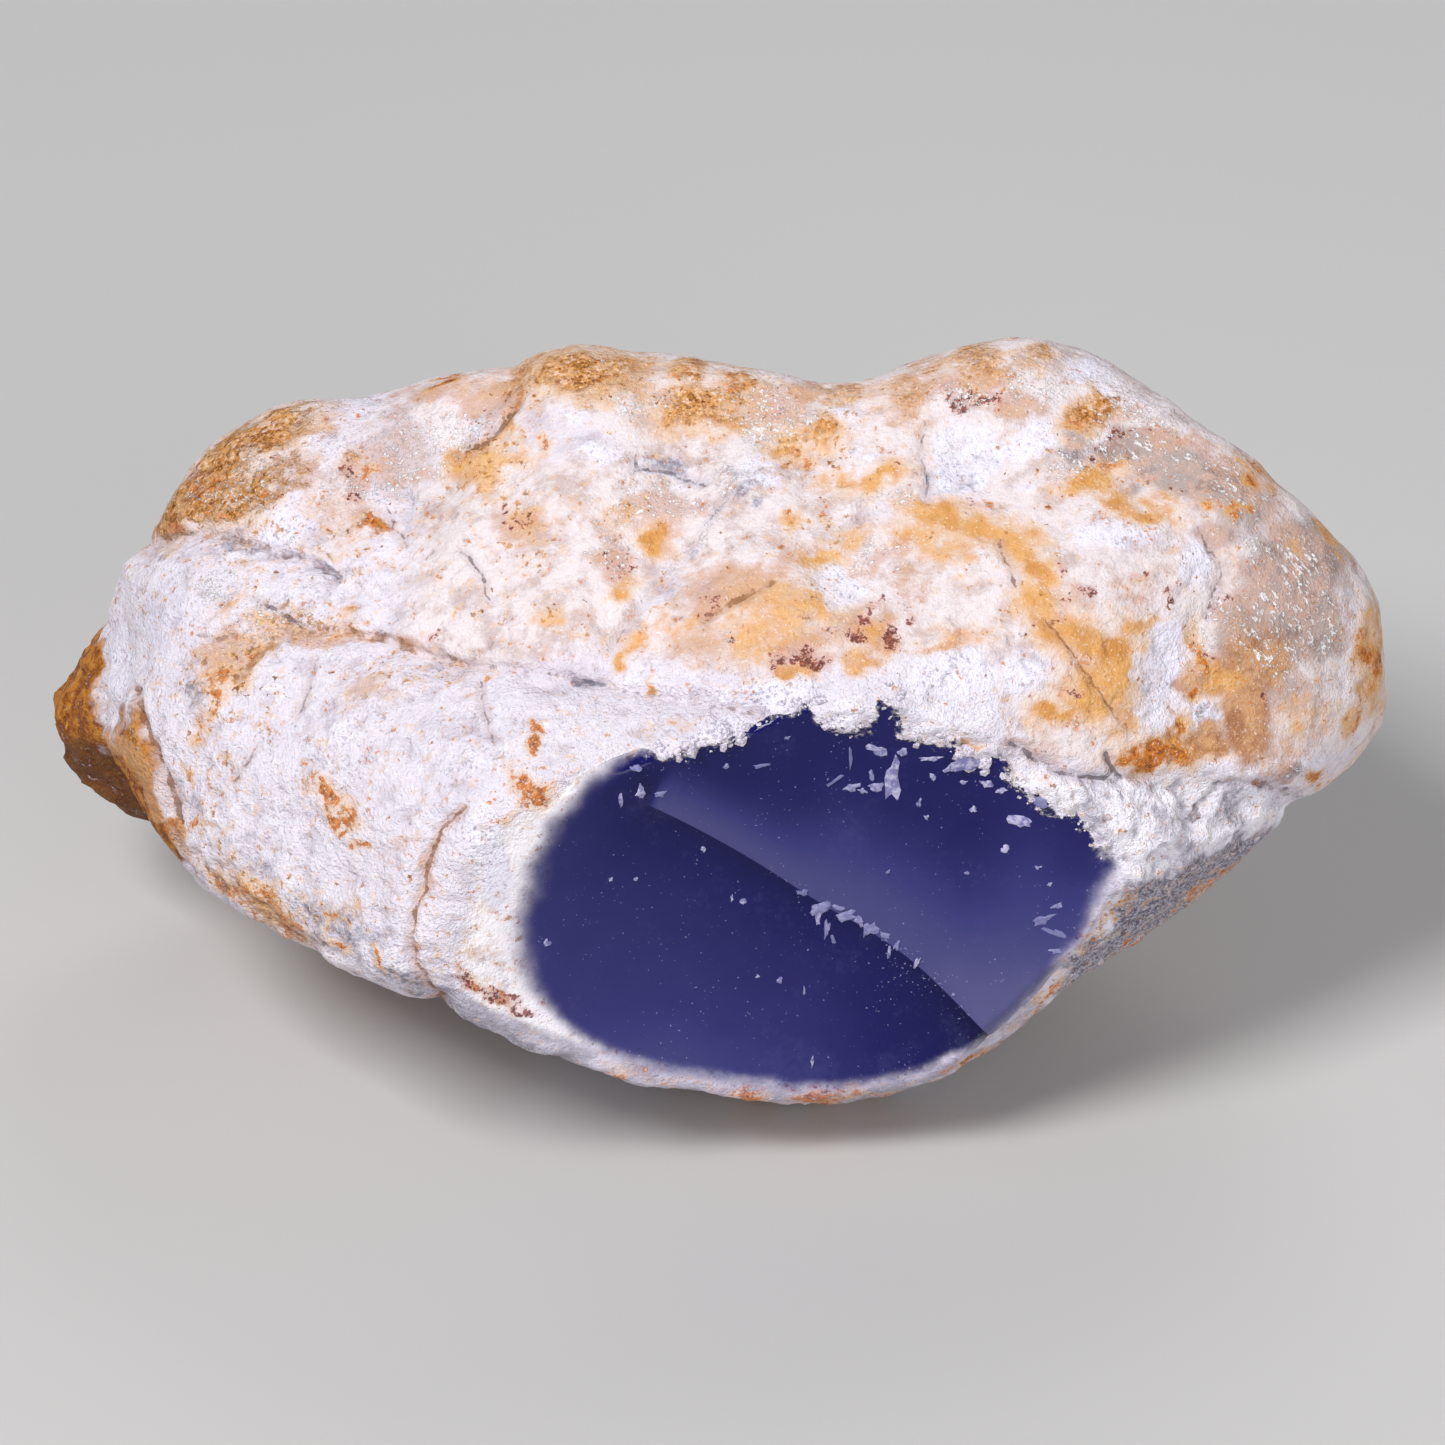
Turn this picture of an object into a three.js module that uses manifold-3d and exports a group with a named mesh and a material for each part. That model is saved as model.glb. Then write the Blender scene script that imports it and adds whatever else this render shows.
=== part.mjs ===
/*
 * Rough chalcedony: one nodule in its pale crust, broken open at the front.
 *
 * Millimetres, +Z up, the origin on the ground under the middle of the stone's box, the broken front
 * towards -Y. The whole stone is one radial form: a distance r from CENTRE for every direction, made of
 *   - a girdle outline, the stone's edge as met square on to its tilted front,
 *   - flat faces, each a plane at its own distance, run together with rounded edges,
 *   - a knob at the rear left,
 *   - lumps of three sizes, then dents, swellings and ledges that lie on the front.
 * Two shallow round hollows are then cut from it, one for each flake that broke away. They meet in the
 * arc-shaped ridge of the window. A last cut makes the small flat spot that the stone rests on.
 */
import * as THREE from 'three';
import { mergeVertices } from 'three/addons/utils/BufferGeometryUtils.js';
import Module from 'manifold-3d';

// ---- the frame of the form ----

const CENTRE = new THREE.Vector3(0.26, 0.8, 17);
const FRONT_TILT = 34; // degrees that the front plane leans back from upright
const FRONT_HEIGHT = 16.4; // height of the front plane's own origin, over CENTRE's x and y
const SIGHT = 421; // distance that the front is laid out from, so nearer places spread a little
const FRONT_BEGINS = -6; // how far out of the front plane its relief begins, and where it is full
const FRONT_IS_FULL = 2;

// ---- the girdle outline: angle in the front plane from +X in degrees, radius ----

const OUTLINE = [
  [5, 35.6], [15, 34.1], [23.5, 31.6], [32, 29.7], [40, 28.0], [48, 25.9], [58, 22.3], [69, 18.7],
  [80, 18.5], [94, 19.1], [109, 20.0], [120, 21.2], [130.5, 23.3], [138, 25.1], [144, 28.4],
  [150, 29.9], [158, 31.6], [166.5, 33.1], [173, 33.3], [179, 33.0], [184.5, 32.1], [190.5, 30.7],
  [200, 30.0], [209, 28.7], [220, 23.9], [228, 21.2], [238, 20.5], [251, 20.1], [267, 20.6],
  [281, 22.3], [292, 24.4], [302, 26.2], [320, 25.2], [327, 25.7], [340, 28.5], [350, 31.4],
  [356, 34.6],
];

// ---- the faces: outward normal, distance from CENTRE ----

const FACES = [
  { name: 'broken front', normal: [0.1, -0.98, 0.17], distance: 19.6 },
  { name: 'left of the window', normal: [-0.62, -0.68, 0.39], distance: 24.7 },
  { name: 'left underside', normal: [-0.4, -0.4, -0.82], distance: 19.4 },
  { name: 'undercut facet lower right', normal: [0.48, -0.82, -0.31], distance: 24.0 },
  { name: 'right underside', normal: [0.56, -0.41, -0.72], distance: 22.7 },
  { name: 'front underside', normal: [0, -0.7, -0.71], distance: 22.5 },
  { name: 'broken zone right of the window', normal: [0.39, -0.79, 0.48], distance: 21.0 },
  { name: 'upper face', normal: [0, -0.42, 0.91], distance: 15.8 },
  { name: 'upper left', normal: [-0.3, -0.35, 0.88], distance: 17.4 },
  { name: 'back', normal: [0, 1, 0.1], distance: 18.5 },
  { name: 'back left', normal: [-0.5, 0.85, 0], distance: 24.5 },
  { name: 'back right', normal: [0.6, 0.8, 0], distance: 26.0 },
  { name: 'back underside', normal: [0, 0.7, -0.7], distance: 18.0 },
  { name: 'upper back', normal: [0, 0.7, 0.7], distance: 20.5 },
  { name: 'right rear underside', normal: [0.45, 0.3, -0.84], distance: 18.0 },
];
const EDGE_SHARPNESS = 14; // power that runs the faces together: the higher, the sharper the edges

// ---- the knob, the hollows and the flat spot, all measured from CENTRE ----

const KNOB = { centre: new THREE.Vector3(-29.6, 5.8, -4.0), radius: 5.7 };
const KNOB_BLEND = 20; // power that runs the knob into the body
const FLAKES = [
  { name: 'lower left flake', centre: new THREE.Vector3(7.9, -67.5, 1.5), radius: 51.9 },
  { name: 'upper right flake', centre: new THREE.Vector3(14.2, -70.5, 8.7), radius: 56.4 },
];
const HOLLOW_SEGMENTS = 120; // round each cutting sphere, a facet every 2.7 mm or so
const GROUND_BLOCK = 120; // wider than the stone, its top at z = 0
const MERGE_DISTANCE = 0.001;

// ---- lumps: size across, height, and a number that picks the pattern ----

const LUMPS = [
  { size: 13, height: 1.3, seed: 11 },
  { size: 6, height: 0.7, seed: 23 },
  { size: 2.8, height: 0.34, seed: 37 },
];

// ---- places on the front: x to the right and y up in the front plane ----

const SWELLINGS = [ // x, y, radius, height; a hollow has a height below zero
  [-24.5, 13.5, 4.2, 0.9], // stained lump on the upper left shoulder
  [-31.5, 4.0, 3.0, -0.7], // pale trough beside the knob
  [-16.4, 13.0, 2.8, -0.9], // glassy hollow
  [-11.8, 8.6, 4.0, 0.7], // mound under the arched crack
  [-7.0, 17.6, 3.6, 0.6], // crest
  [-2.6, 13.7, 2.2, -0.8], // small pit with a straight lower lip
  [-2.6, 8.6, 2.4, -0.8], // diagonal valley, upper part
  [-5.6, 4.6, 2.2, -0.6], // diagonal valley, lower part
  [2.5, 5.2, 3.8, 0.5], // stained mound right of the valley
  [6.0, 7.4, 2.0, -0.6], // white hollow
  [13.6, 13.6, 3.0, -0.9], // granular hollow
  [15.0, 18.6, 3.4, 0.7], // hump on the right of the crest
  [19.6, 6.0, 5.0, 0.8], // broad stained swelling
  [22.4, 13.4, 2.4, -0.7], // pitted hollow in the right shoulder
  [23.8, 2.8, 1.9, -0.5], // white hollow near the right end
  [30.0, 5.0, 4.2, 0.6], // right end
  [26.0, -4.6, 2.0, -0.9], // broken hollow
  [19.0, -4.2, 1.8, 0.6], // white block beside the window
];
const LEDGES = [ // a groove along a line, and a step down to the line's right-hand side
  {
    name: 'brow',
    line: [[-27, 4.6], [-24, 5.2], [-20, 4.8], [-16, 3.4], [-12.5, 2.8], [-8, 2.2], [-3, 1.5], [1.5, 0.6]],
    groove: 0.55, step: 0.5,
  },
  {
    name: 'shoulder crack',
    line: [[-31, 9.8], [-27.5, 10.2], [-24.5, 9.6], [-22.6, 8.8], [-20.6, 7.8]],
    groove: 0.45, step: 0.5,
  },
  {
    name: 'collar beside the window',
    line: [[-15.2, -14.8], [-16.5, -13], [-16.6, -11], [-16, -8], [-14.8, -5.4]],
    groove: 0.35, step: 0.3,
  },
  {
    name: 'chalky crack',
    line: [[-14.8, 15.2], [-13.4, 16], [-12, 17], [-10.8, 18]],
    groove: 0.6, step: 0.4,
  },
  {
    name: 'crack right of the window',
    line: [[15.4, -1.8], [18, -2.6], [21.4, -3], [25, -3.2], [30.5, -4.2]],
    groove: 0.5, step: 0.5,
  },
  {
    name: 'edge of the glassy right end',
    line: [[24.8, 10.6], [26.4, 9.2], [27, 7.6], [26, 6], [25.6, 4]],
    groove: 0.3, step: 0.4,
  },
];
const GROOVE_HALF_WIDTH = 0.9;
const STEP_FADE = 5; // distance from the line over which a step runs out

// ---- the direction grid ----

const GRID_CELLS = 29; // along each edge of the cube that is blown up to a sphere
const GRID_STRETCH = new THREE.Vector3(1.75, 1, 0.95); // spreads the grid along the stone's length
const GRID_FORWARD = 0.3; // moves the grid towards the front, which has the finer detail

const tilt = THREE.MathUtils.degToRad(FRONT_TILT);
const ACROSS = new THREE.Vector3(1, 0, 0);
const UP_THE_FRONT = new THREE.Vector3(0, Math.sin(tilt), Math.cos(tilt));
const OUT_OF_THE_FRONT = new THREE.Vector3(0, -Math.cos(tilt), Math.sin(tilt));
const FRONT_ORIGIN = new THREE.Vector3(CENTRE.x, CENTRE.y, FRONT_HEIGHT);

const unitFaces = FACES.map((face) => ({
  normal: new THREE.Vector3(...face.normal).normalize(),
  distance: face.distance,
}));

/** The radius of the outline at an angle in degrees: a cubic through the points, closed on itself. */
function outlineRadius(degrees) {
  const count = OUTLINE.length;
  const point = (k) => {
    const turns = Math.floor(k / count);
    const [angle, radius] = OUTLINE[k - turns * count];
    return [angle + turns * 360, radius];
  };
  const slope = (k) => {
    const [a0, r0] = point(k - 1);
    const [a1, r1] = point(k);
    const [a2, r2] = point(k + 1);
    const before = a1 - a0;
    const after = a2 - a1;
    const weighted = ((r2 - r1) * before) / after + ((r1 - r0) * after) / before;
    return weighted / (before + after);
  };
  let k = -1;
  while (point(k + 1)[0] <= degrees) k += 1;
  const [start, r0] = point(k);
  const [end, r1] = point(k + 1);
  const span = end - start;
  const t = (degrees - start) / span;
  const ease = t * t * (3 - 2 * t);
  const leave = t * (1 - t) * (1 - t) * span * slope(k);
  const arrive = t * t * (t - 1) * span * slope(k + 1);
  return r0 * (1 - ease) + r1 * ease + leave + arrive;
}

/** Outline and faces together: the inverse distances add up by EDGE_SHARPNESS. */
function faceRadius(direction) {
  const across = direction.dot(ACROSS);
  const up = direction.dot(UP_THE_FRONT);
  const angle = (THREE.MathUtils.radToDeg(Math.atan2(up, across)) + 360) % 360;
  let sum = (Math.hypot(across, up) / outlineRadius(angle)) ** EDGE_SHARPNESS;
  for (const { normal, distance } of unitFaces) {
    sum += (Math.max(0, normal.dot(direction)) / distance) ** EDGE_SHARPNESS;
  }
  return sum ** (-1 / EDGE_SHARPNESS);
}

/** Where a ray from CENTRE leaves the knob's sphere, or 0 if it misses it. */
function knobRadius(direction) {
  const along = direction.dot(KNOB.centre);
  const inside = along * along - KNOB.centre.lengthSq() + KNOB.radius * KNOB.radius;
  return inside > 0 && along > 0 ? along + Math.sqrt(inside) : 0;
}

// Whole-number mixing for the lumps' pattern: odd constants, one for each axis and one for the mix.
const MIX_X = 0x8da6b343;
const MIX_Y = 0xd8163841;
const MIX_Z = 0xcb1ab31f;
const MIX_ALL = 0x9e3779b1;
const BITS = 10; // of the mixed number, for each part of a direction
const LARGEST = 2 ** BITS - 1;

/** A direction that is fixed for each corner of a unit grid and looks random from one to the next. */
function cornerDirection(x, y, z, seed) {
  let mixed = Math.imul(x, MIX_X) ^ Math.imul(y, MIX_Y) ^ Math.imul(z, MIX_Z) ^ seed;
  mixed = Math.imul(mixed ^ (mixed >>> 13), MIX_ALL);
  mixed ^= mixed >>> 16;
  const part = (place) => (2 * ((mixed >>> (place * BITS)) & LARGEST)) / LARGEST - 1;
  return [part(0), part(1), part(2)];
}

/** Smooth noise of about -0.5 to 0.5 that changes over a distance of size. */
function lumps(point, size, seed) {
  const scaled = point.clone().divideScalar(size);
  const corner = scaled.clone().floor();
  const inner = scaled.sub(corner);
  const ease = (t) => t * t * t * (t * (t * 6 - 15) + 10);
  const [sx, sy, sz] = [ease(inner.x), ease(inner.y), ease(inner.z)];
  let total = 0;
  for (const a of [0, 1]) {
    for (const b of [0, 1]) {
      for (const c of [0, 1]) {
        const [gx, gy, gz] = cornerDirection(corner.x + a, corner.y + b, corner.z + c, seed);
        const weight = (a ? sx : 1 - sx) * (b ? sy : 1 - sy) * (c ? sz : 1 - sz);
        total += weight * (gx * (inner.x - a) + gy * (inner.y - b) + gz * (inner.z - c));
      }
    }
  }
  return total;
}

/** A point's place on the front plane, and how far it stands out of that plane. */
function frontPlace(point) {
  const offset = point.clone().sub(FRONT_ORIGIN);
  const out = offset.dot(OUT_OF_THE_FRONT);
  const spread = SIGHT / (SIGHT - out);
  return { x: offset.dot(ACROSS) * spread, y: offset.dot(UP_THE_FRONT) * spread, out };
}

/** Distance to a line of points, and on which side of it (x, y) lies: right is negative. */
function distanceToLine(x, y, line) {
  let best = { distance: Infinity, side: 0, end: 0 };
  for (let k = 0; k + 1 < line.length; k += 1) {
    const [x0, y0] = line[k];
    const [dx, dy] = [line[k + 1][0] - x0, line[k + 1][1] - y0];
    const length2 = dx * dx + dy * dy;
    const along = ((x - x0) * dx + (y - y0) * dy) / length2;
    const held = Math.min(1, Math.max(0, along));
    const distance = Math.hypot(x - x0 - held * dx, y - y0 - held * dy);
    if (distance < best.distance) {
      const side = Math.sign(dx * (y - y0) - dy * (x - x0));
      best = { distance, side, end: Math.abs(along - held) * Math.sqrt(length2) };
    }
  }
  return best;
}

/** Height that the dents, swellings and ledges of the front add at a point. */
function frontRelief(point) {
  const { x, y, out } = frontPlace(point);
  const facing = THREE.MathUtils.smoothstep(out, FRONT_BEGINS, FRONT_IS_FULL);
  if (facing === 0) return 0;
  let height = 0;
  for (const [cx, cy, radius, rise] of SWELLINGS) {
    height += rise * Math.exp(-((x - cx) ** 2 + (y - cy) ** 2) / (radius * radius));
  }
  for (const { line, groove, step } of LEDGES) {
    const { distance, side, end } = distanceToLine(x, y, line);
    const ends = Math.exp(-((end / GROOVE_HALF_WIDTH) ** 2));
    const below = THREE.MathUtils.smoothstep(-side * distance, -GROOVE_HALF_WIDTH, GROOVE_HALF_WIDTH);
    height -= groove * Math.exp(-((distance / GROOVE_HALF_WIDTH) ** 2));
    height -= step * ends * below * Math.max(0, 1 - distance / STEP_FADE) ** 2;
  }
  return height * facing;
}

/** The surface point that lies in a direction from CENTRE. */
function surfacePoint(direction) {
  const body = faceRadius(direction);
  const knob = knobRadius(direction);
  const smooth = (body ** KNOB_BLEND + knob ** KNOB_BLEND) ** (1 / KNOB_BLEND);
  const point = direction.clone().multiplyScalar(smooth).add(CENTRE);
  let height = frontRelief(point);
  for (const { size, height: amount, seed } of LUMPS) height += amount * lumps(point, size, seed);
  return direction.clone().multiplyScalar(smooth + height).add(CENTRE);
}

/** Directions on one side of the cube: u and v turn towards `first` and `second`. */
function gridDirection(side, u, v) {
  const direction = side.middle.clone();
  direction.addScaledVector(side.first, Math.tan(u * Math.PI / 4));
  direction.addScaledVector(side.second, Math.tan(v * Math.PI / 4));
  direction.normalize().multiply(GRID_STRETCH).normalize();
  return direction.addScaledVector(OUT_OF_THE_FRONT, GRID_FORWARD).normalize();
}

/** The whole form as one closed mesh: six square grids, blown up and sewn together. */
function nodule() {
  const axes = [new THREE.Vector3(1, 0, 0), new THREE.Vector3(0, 1, 0), new THREE.Vector3(0, 0, 1)];
  const positions = [];
  const indices = [];
  for (let axis = 0; axis < 3; axis += 1) {
    for (const sign of [1, -1]) {
      const middle = axes[axis].clone().multiplyScalar(sign);
      const first = axes[(axis + 1) % 3].clone();
      const side = { middle, first, second: middle.clone().cross(first) };
      const start = positions.length / 3;
      const row = GRID_CELLS + 1;
      for (let i = 0; i < row; i += 1) {
        for (let j = 0; j < row; j += 1) {
          const u = (2 * i) / GRID_CELLS - 1;
          const v = (2 * j) / GRID_CELLS - 1;
          positions.push(...surfacePoint(gridDirection(side, u, v)).toArray());
        }
      }
      for (let i = 0; i < GRID_CELLS; i += 1) {
        for (let j = 0; j < GRID_CELLS; j += 1) {
          const a = start + i * row + j;
          const b = a + row;
          indices.push(a, b, b + 1, a, b + 1, a + 1);
        }
      }
    }
  }
  const geometry = new THREE.BufferGeometry();
  geometry.setAttribute('position', new THREE.Float32BufferAttribute(positions, 3));
  geometry.setIndex(indices);
  return geometry;
}

const wasm = await Module();
wasm.setup();

/** A closed three.js geometry as a solid that can be cut. */
function solid(geometry) {
  const bare = geometry.clone();
  bare.deleteAttribute('normal');
  bare.deleteAttribute('uv');
  const merged = mergeVertices(bare, MERGE_DISTANCE);
  return new wasm.Manifold(new wasm.Mesh({
    numProp: 3,
    vertProperties: new Float32Array(merged.attributes.position.array),
    triVerts: new Uint32Array(merged.index.array),
  }));
}

/** A cut solid as a three.js geometry again. */
function geometryOf(cut) {
  const mesh = cut.getMesh();
  const geometry = new THREE.BufferGeometry();
  geometry.setAttribute('position', new THREE.BufferAttribute(mesh.vertProperties, 3));
  geometry.setIndex(new THREE.BufferAttribute(mesh.triVerts, 1));
  geometry.computeVertexNormals();
  return geometry;
}

let stone = solid(nodule());

for (const { centre, radius } of FLAKES) {
  const hollow = new THREE.SphereGeometry(radius, HOLLOW_SEGMENTS, HOLLOW_SEGMENTS / 2);
  hollow.rotateX(Math.PI / 2); // the poles, where its facets crowd, turn away from the stone
  hollow.translate(...centre.clone().add(CENTRE).toArray());
  stone = stone.subtract(solid(hollow));
}

const ground = new THREE.BoxGeometry(GROUND_BLOCK, GROUND_BLOCK, GROUND_BLOCK);
ground.translate(0, 0, -GROUND_BLOCK / 2);
stone = stone.subtract(solid(ground));

const crust = new THREE.MeshStandardMaterial({ color: '#e4dade', roughness: 0.75, metalness: 0 });
const piece = new THREE.Mesh(geometryOf(stone), crust);
piece.name = 'nodule';

const group = new THREE.Group();
group.add(piece);

export default group;
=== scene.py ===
import math

import bpy
import numpy as np
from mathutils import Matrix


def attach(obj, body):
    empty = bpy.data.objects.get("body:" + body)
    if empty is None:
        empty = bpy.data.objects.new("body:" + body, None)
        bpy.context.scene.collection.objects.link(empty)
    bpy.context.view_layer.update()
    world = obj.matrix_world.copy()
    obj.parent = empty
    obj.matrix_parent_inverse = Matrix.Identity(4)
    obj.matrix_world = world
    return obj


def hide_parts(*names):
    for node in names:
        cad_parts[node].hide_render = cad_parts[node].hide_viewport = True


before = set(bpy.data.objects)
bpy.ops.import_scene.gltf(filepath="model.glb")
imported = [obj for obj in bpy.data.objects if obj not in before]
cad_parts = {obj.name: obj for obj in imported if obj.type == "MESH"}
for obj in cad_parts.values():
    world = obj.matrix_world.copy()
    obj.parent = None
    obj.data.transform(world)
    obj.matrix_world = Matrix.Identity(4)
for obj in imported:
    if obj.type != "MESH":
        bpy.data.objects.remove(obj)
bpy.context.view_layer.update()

MM = 0.001

# ---------------------------------------------------------------------------
# The stone's form, in millimetres: a distance from CENTRE for every direction
# ---------------------------------------------------------------------------

CENTRE = np.array([0.26, 0.8, 17.0])
FRONT_TILT = math.radians(34)
FRONT_ORIGIN = np.array([CENTRE[0], CENTRE[1], 16.4])
ACROSS = np.array([1.0, 0.0, 0.0])
UP_THE_FRONT = np.array([0.0, math.sin(FRONT_TILT), math.cos(FRONT_TILT)])
OUT_OF_THE_FRONT = np.array([0.0, -math.cos(FRONT_TILT), math.sin(FRONT_TILT)])
SIGHT = 421.0  # the front is laid out from this far away, so nearer places spread a little
FRONT_BEGINS, FRONT_IS_FULL = -6.0, 2.0

# Girdle outline: angle in the front plane from +X in degrees, radius.
OUTLINE = [
    (5, 35.6), (15, 34.1), (23.5, 31.6), (32, 29.7), (40, 28.0), (48, 25.9), (58, 22.3), (69, 18.7),
    (80, 18.5), (94, 19.1), (109, 20.0), (120, 21.2), (130.5, 23.3), (138, 25.1), (144, 28.4),
    (150, 29.9), (158, 31.6), (166.5, 33.1), (173, 33.3), (179, 33.0), (184.5, 32.1), (190.5, 30.7),
    (200, 30.0), (209, 28.7), (220, 23.9), (228, 21.2), (238, 20.5), (251, 20.1), (267, 20.6),
    (281, 22.3), (292, 24.4), (302, 26.2), (320, 25.2), (327, 25.7), (340, 28.5), (350, 31.4),
    (356, 34.6),
]

# Faces: outward normal, distance from CENTRE.
FACES = {
    "broken front": ((0.1, -0.98, 0.17), 19.6),
    "left of the window": ((-0.62, -0.68, 0.39), 24.7),
    "left underside": ((-0.4, -0.4, -0.82), 19.4),
    "undercut facet lower right": ((0.48, -0.82, -0.31), 24.0),
    "right underside": ((0.56, -0.41, -0.72), 22.7),
    "front underside": ((0, -0.7, -0.71), 22.5),
    "broken zone right of the window": ((0.39, -0.79, 0.48), 21.0),
    "upper face": ((0, -0.42, 0.91), 15.8),
    "upper left": ((-0.3, -0.35, 0.88), 17.4),
    "back": ((0, 1, 0.1), 18.5),
    "back left": ((-0.5, 0.85, 0), 24.5),
    "back right": ((0.6, 0.8, 0), 26.0),
    "back underside": ((0, 0.7, -0.7), 18.0),
    "upper back": ((0, 0.7, 0.7), 20.5),
    "right rear underside": ((0.45, 0.3, -0.84), 18.0),
}
EDGE_SHARPNESS = 14.0

# Knob and flake hollows, measured from CENTRE: centre of the sphere, radius.
KNOB = (np.array([-29.6, 5.8, -4.0]), 5.7)
KNOB_BLEND = 20.0
LOWER_LEFT_FLAKE = (np.array([7.9, -67.5, 1.5]), 51.9)
UPPER_RIGHT_FLAKE = (np.array([14.2, -70.5, 8.7]), 56.4)

# Lumps: size across, height, pattern number. LUMPS are the solid's own, FINE_LUMPS are this piece's.
LUMPS = [(13, 1.3, 11), (6, 0.7, 23), (2.8, 0.34, 37)]
FINE_LUMPS = [(2.2, 0.18, 39), (1.3, 0.15, 41), (0.8, 0.12, 43), (0.5, 0.09, 47)]

# Swellings and hollows of the front: x, y, radius, height.
SWELLINGS = [
    (-24.5, 13.5, 4.2, 0.9), (-31.5, 4.0, 3.0, -0.7), (-16.4, 13.0, 2.8, -0.9), (-11.8, 8.6, 4.0, 0.7),
    (-7.0, 17.6, 3.6, 0.6), (-2.6, 13.7, 2.2, -0.8), (-2.6, 8.6, 2.4, -0.8), (-5.6, 4.6, 2.2, -0.6),
    (2.5, 5.2, 3.8, 0.5), (6.0, 7.4, 2.0, -0.6), (13.6, 13.6, 3.0, -0.9), (15.0, 18.6, 3.4, 0.7),
    (19.6, 6.0, 5.0, 0.8), (22.4, 13.4, 2.4, -0.7), (23.8, 2.8, 1.9, -0.5), (30.0, 5.0, 4.2, 0.6),
    (26.0, -4.6, 2.0, -0.9), (19.0, -4.2, 1.8, 0.6),
]

# Ledges of the front: points of the line, depth of the groove along it, step down on its right.
LEDGES = {
    "brow": ([(-27, 4.6), (-24, 5.2), (-20, 4.8), (-16, 3.4), (-12.5, 2.8), (-8, 2.2), (-3, 1.5),
              (1.5, 0.6)], 0.55, 0.5),
    "shoulder crack": ([(-31, 9.8), (-27.5, 10.2), (-24.5, 9.6), (-22.6, 8.8), (-20.6, 7.8)], 0.45, 0.5),
    "collar": ([(-15.2, -14.8), (-16.5, -13), (-16.6, -11), (-16, -8), (-14.8, -5.4)], 0.35, 0.3),
    "chalky crack": ([(-14.8, 15.2), (-13.4, 16), (-12, 17), (-10.8, 18)], 0.6, 0.4),
    "right of the window": ([(15.4, -1.8), (18, -2.6), (21.4, -3), (25, -3.2), (30.5, -4.2)], 0.5, 0.5),
    "glassy right end": ([(24.8, 10.6), (26.4, 9.2), (27, 7.6), (26, 6), (25.6, 4)], 0.3, 0.4),
}
GROOVE_HALF_WIDTH = 0.9
STEP_FADE = 5.0

# The direction grid: the cube's sides, blown up to a sphere.
GRID_CELLS = 128
GRID_STRETCH = np.array([1.75, 1.0, 0.95])
GRID_FORWARD = 0.42


def smooth(value, low, high):
    """0 before low, 1 past high, the cubic 3t^2 - 2t^3 between; it falls where low is the larger."""
    t = np.clip((value - low) / (high - low), 0, 1)
    return t * t * (3 - 2 * t)


def outline_radius(degrees):
    """The outline's radius: a closed cubic, its slope at each point set by the points either side."""
    angles = np.array([a for a, _ in OUTLINE], float)
    radii = np.array([r for _, r in OUTLINE], float)
    angles = np.concatenate([angles - 360, angles, angles + 360])
    radii = np.tile(radii, 3)
    slopes = np.gradient(radii, angles)
    k = np.searchsorted(angles, degrees, side="right") - 1
    span = angles[k + 1] - angles[k]
    t = (degrees - angles[k]) / span
    ease = t * t * (3 - 2 * t)
    leave = t * (1 - t) ** 2 * span * slopes[k]
    arrive = t * t * (t - 1) * span * slopes[k + 1]
    return radii[k] * (1 - ease) + radii[k + 1] * ease + leave + arrive


def face_radius(direction):
    """Outline and faces together: 1/r is the sum of (part along each normal / distance)^n, to 1/n."""
    across, up = direction @ ACROSS, direction @ UP_THE_FRONT
    angle = np.degrees(np.arctan2(up, across)) % 360
    total = (np.hypot(across, up) / outline_radius(angle)) ** EDGE_SHARPNESS
    for normal, distance in FACES.values():
        unit = np.array(normal) / np.linalg.norm(normal)
        total += (np.maximum(0, direction @ unit) / distance) ** EDGE_SHARPNESS
    return total ** (-1 / EDGE_SHARPNESS)


def sphere_crossing(direction, sphere, side):
    """Where a ray from CENTRE crosses a sphere: b - sqrt(b^2 - c) for side -1, plus for side 1."""
    centre, radius = sphere
    along = direction @ centre
    inside = along**2 - centre @ centre + radius**2
    missed = (inside <= 0) | (along <= 0)
    return np.where(missed, np.inf if side < 0 else 0, along + side * np.sqrt(np.maximum(inside, 0)))


MIX_AXES = np.array([0x8DA6B343, 0xD8163841, 0xCB1AB31F], np.uint32)
MIX_ALL = np.uint32(0x9E3779B1)
BITS = 10
LARGEST = 2**BITS - 1


def lumps(points, size, seed):
    """Gradient noise, about -0.5 to 0.5: directions mixed from each grid corner's whole numbers."""
    scaled = points / size
    corner = np.floor(scaled).astype(np.int64)
    inner = scaled - corner
    ease = inner**3 * (inner * (inner * 6 - 15) + 10)
    total = np.zeros(points.shape[:-1])
    for step in np.ndindex(2, 2, 2):
        mixed = (corner + step).astype(np.uint32) * MIX_AXES
        mixed = mixed[..., 0] ^ mixed[..., 1] ^ mixed[..., 2] ^ np.uint32(seed)
        mixed = (mixed ^ (mixed >> np.uint32(13))) * MIX_ALL
        mixed = mixed ^ (mixed >> np.uint32(16))
        weight = np.prod(np.where(step, ease, 1 - ease), axis=-1)
        for axis in range(3):
            part = ((mixed >> np.uint32(axis * BITS)) & np.uint32(LARGEST)) * (2 / LARGEST) - 1
            total += weight * part * (inner[..., axis] - step[axis])
    return total


def front_place(points):
    """x, y of points on the front plane, as met from SIGHT, and how far they stand out of it."""
    offset = points - FRONT_ORIGIN
    out = offset @ OUT_OF_THE_FRONT
    spread = SIGHT / (SIGHT - out)
    return offset @ ACROSS * spread, offset @ UP_THE_FRONT * spread, out


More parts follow.
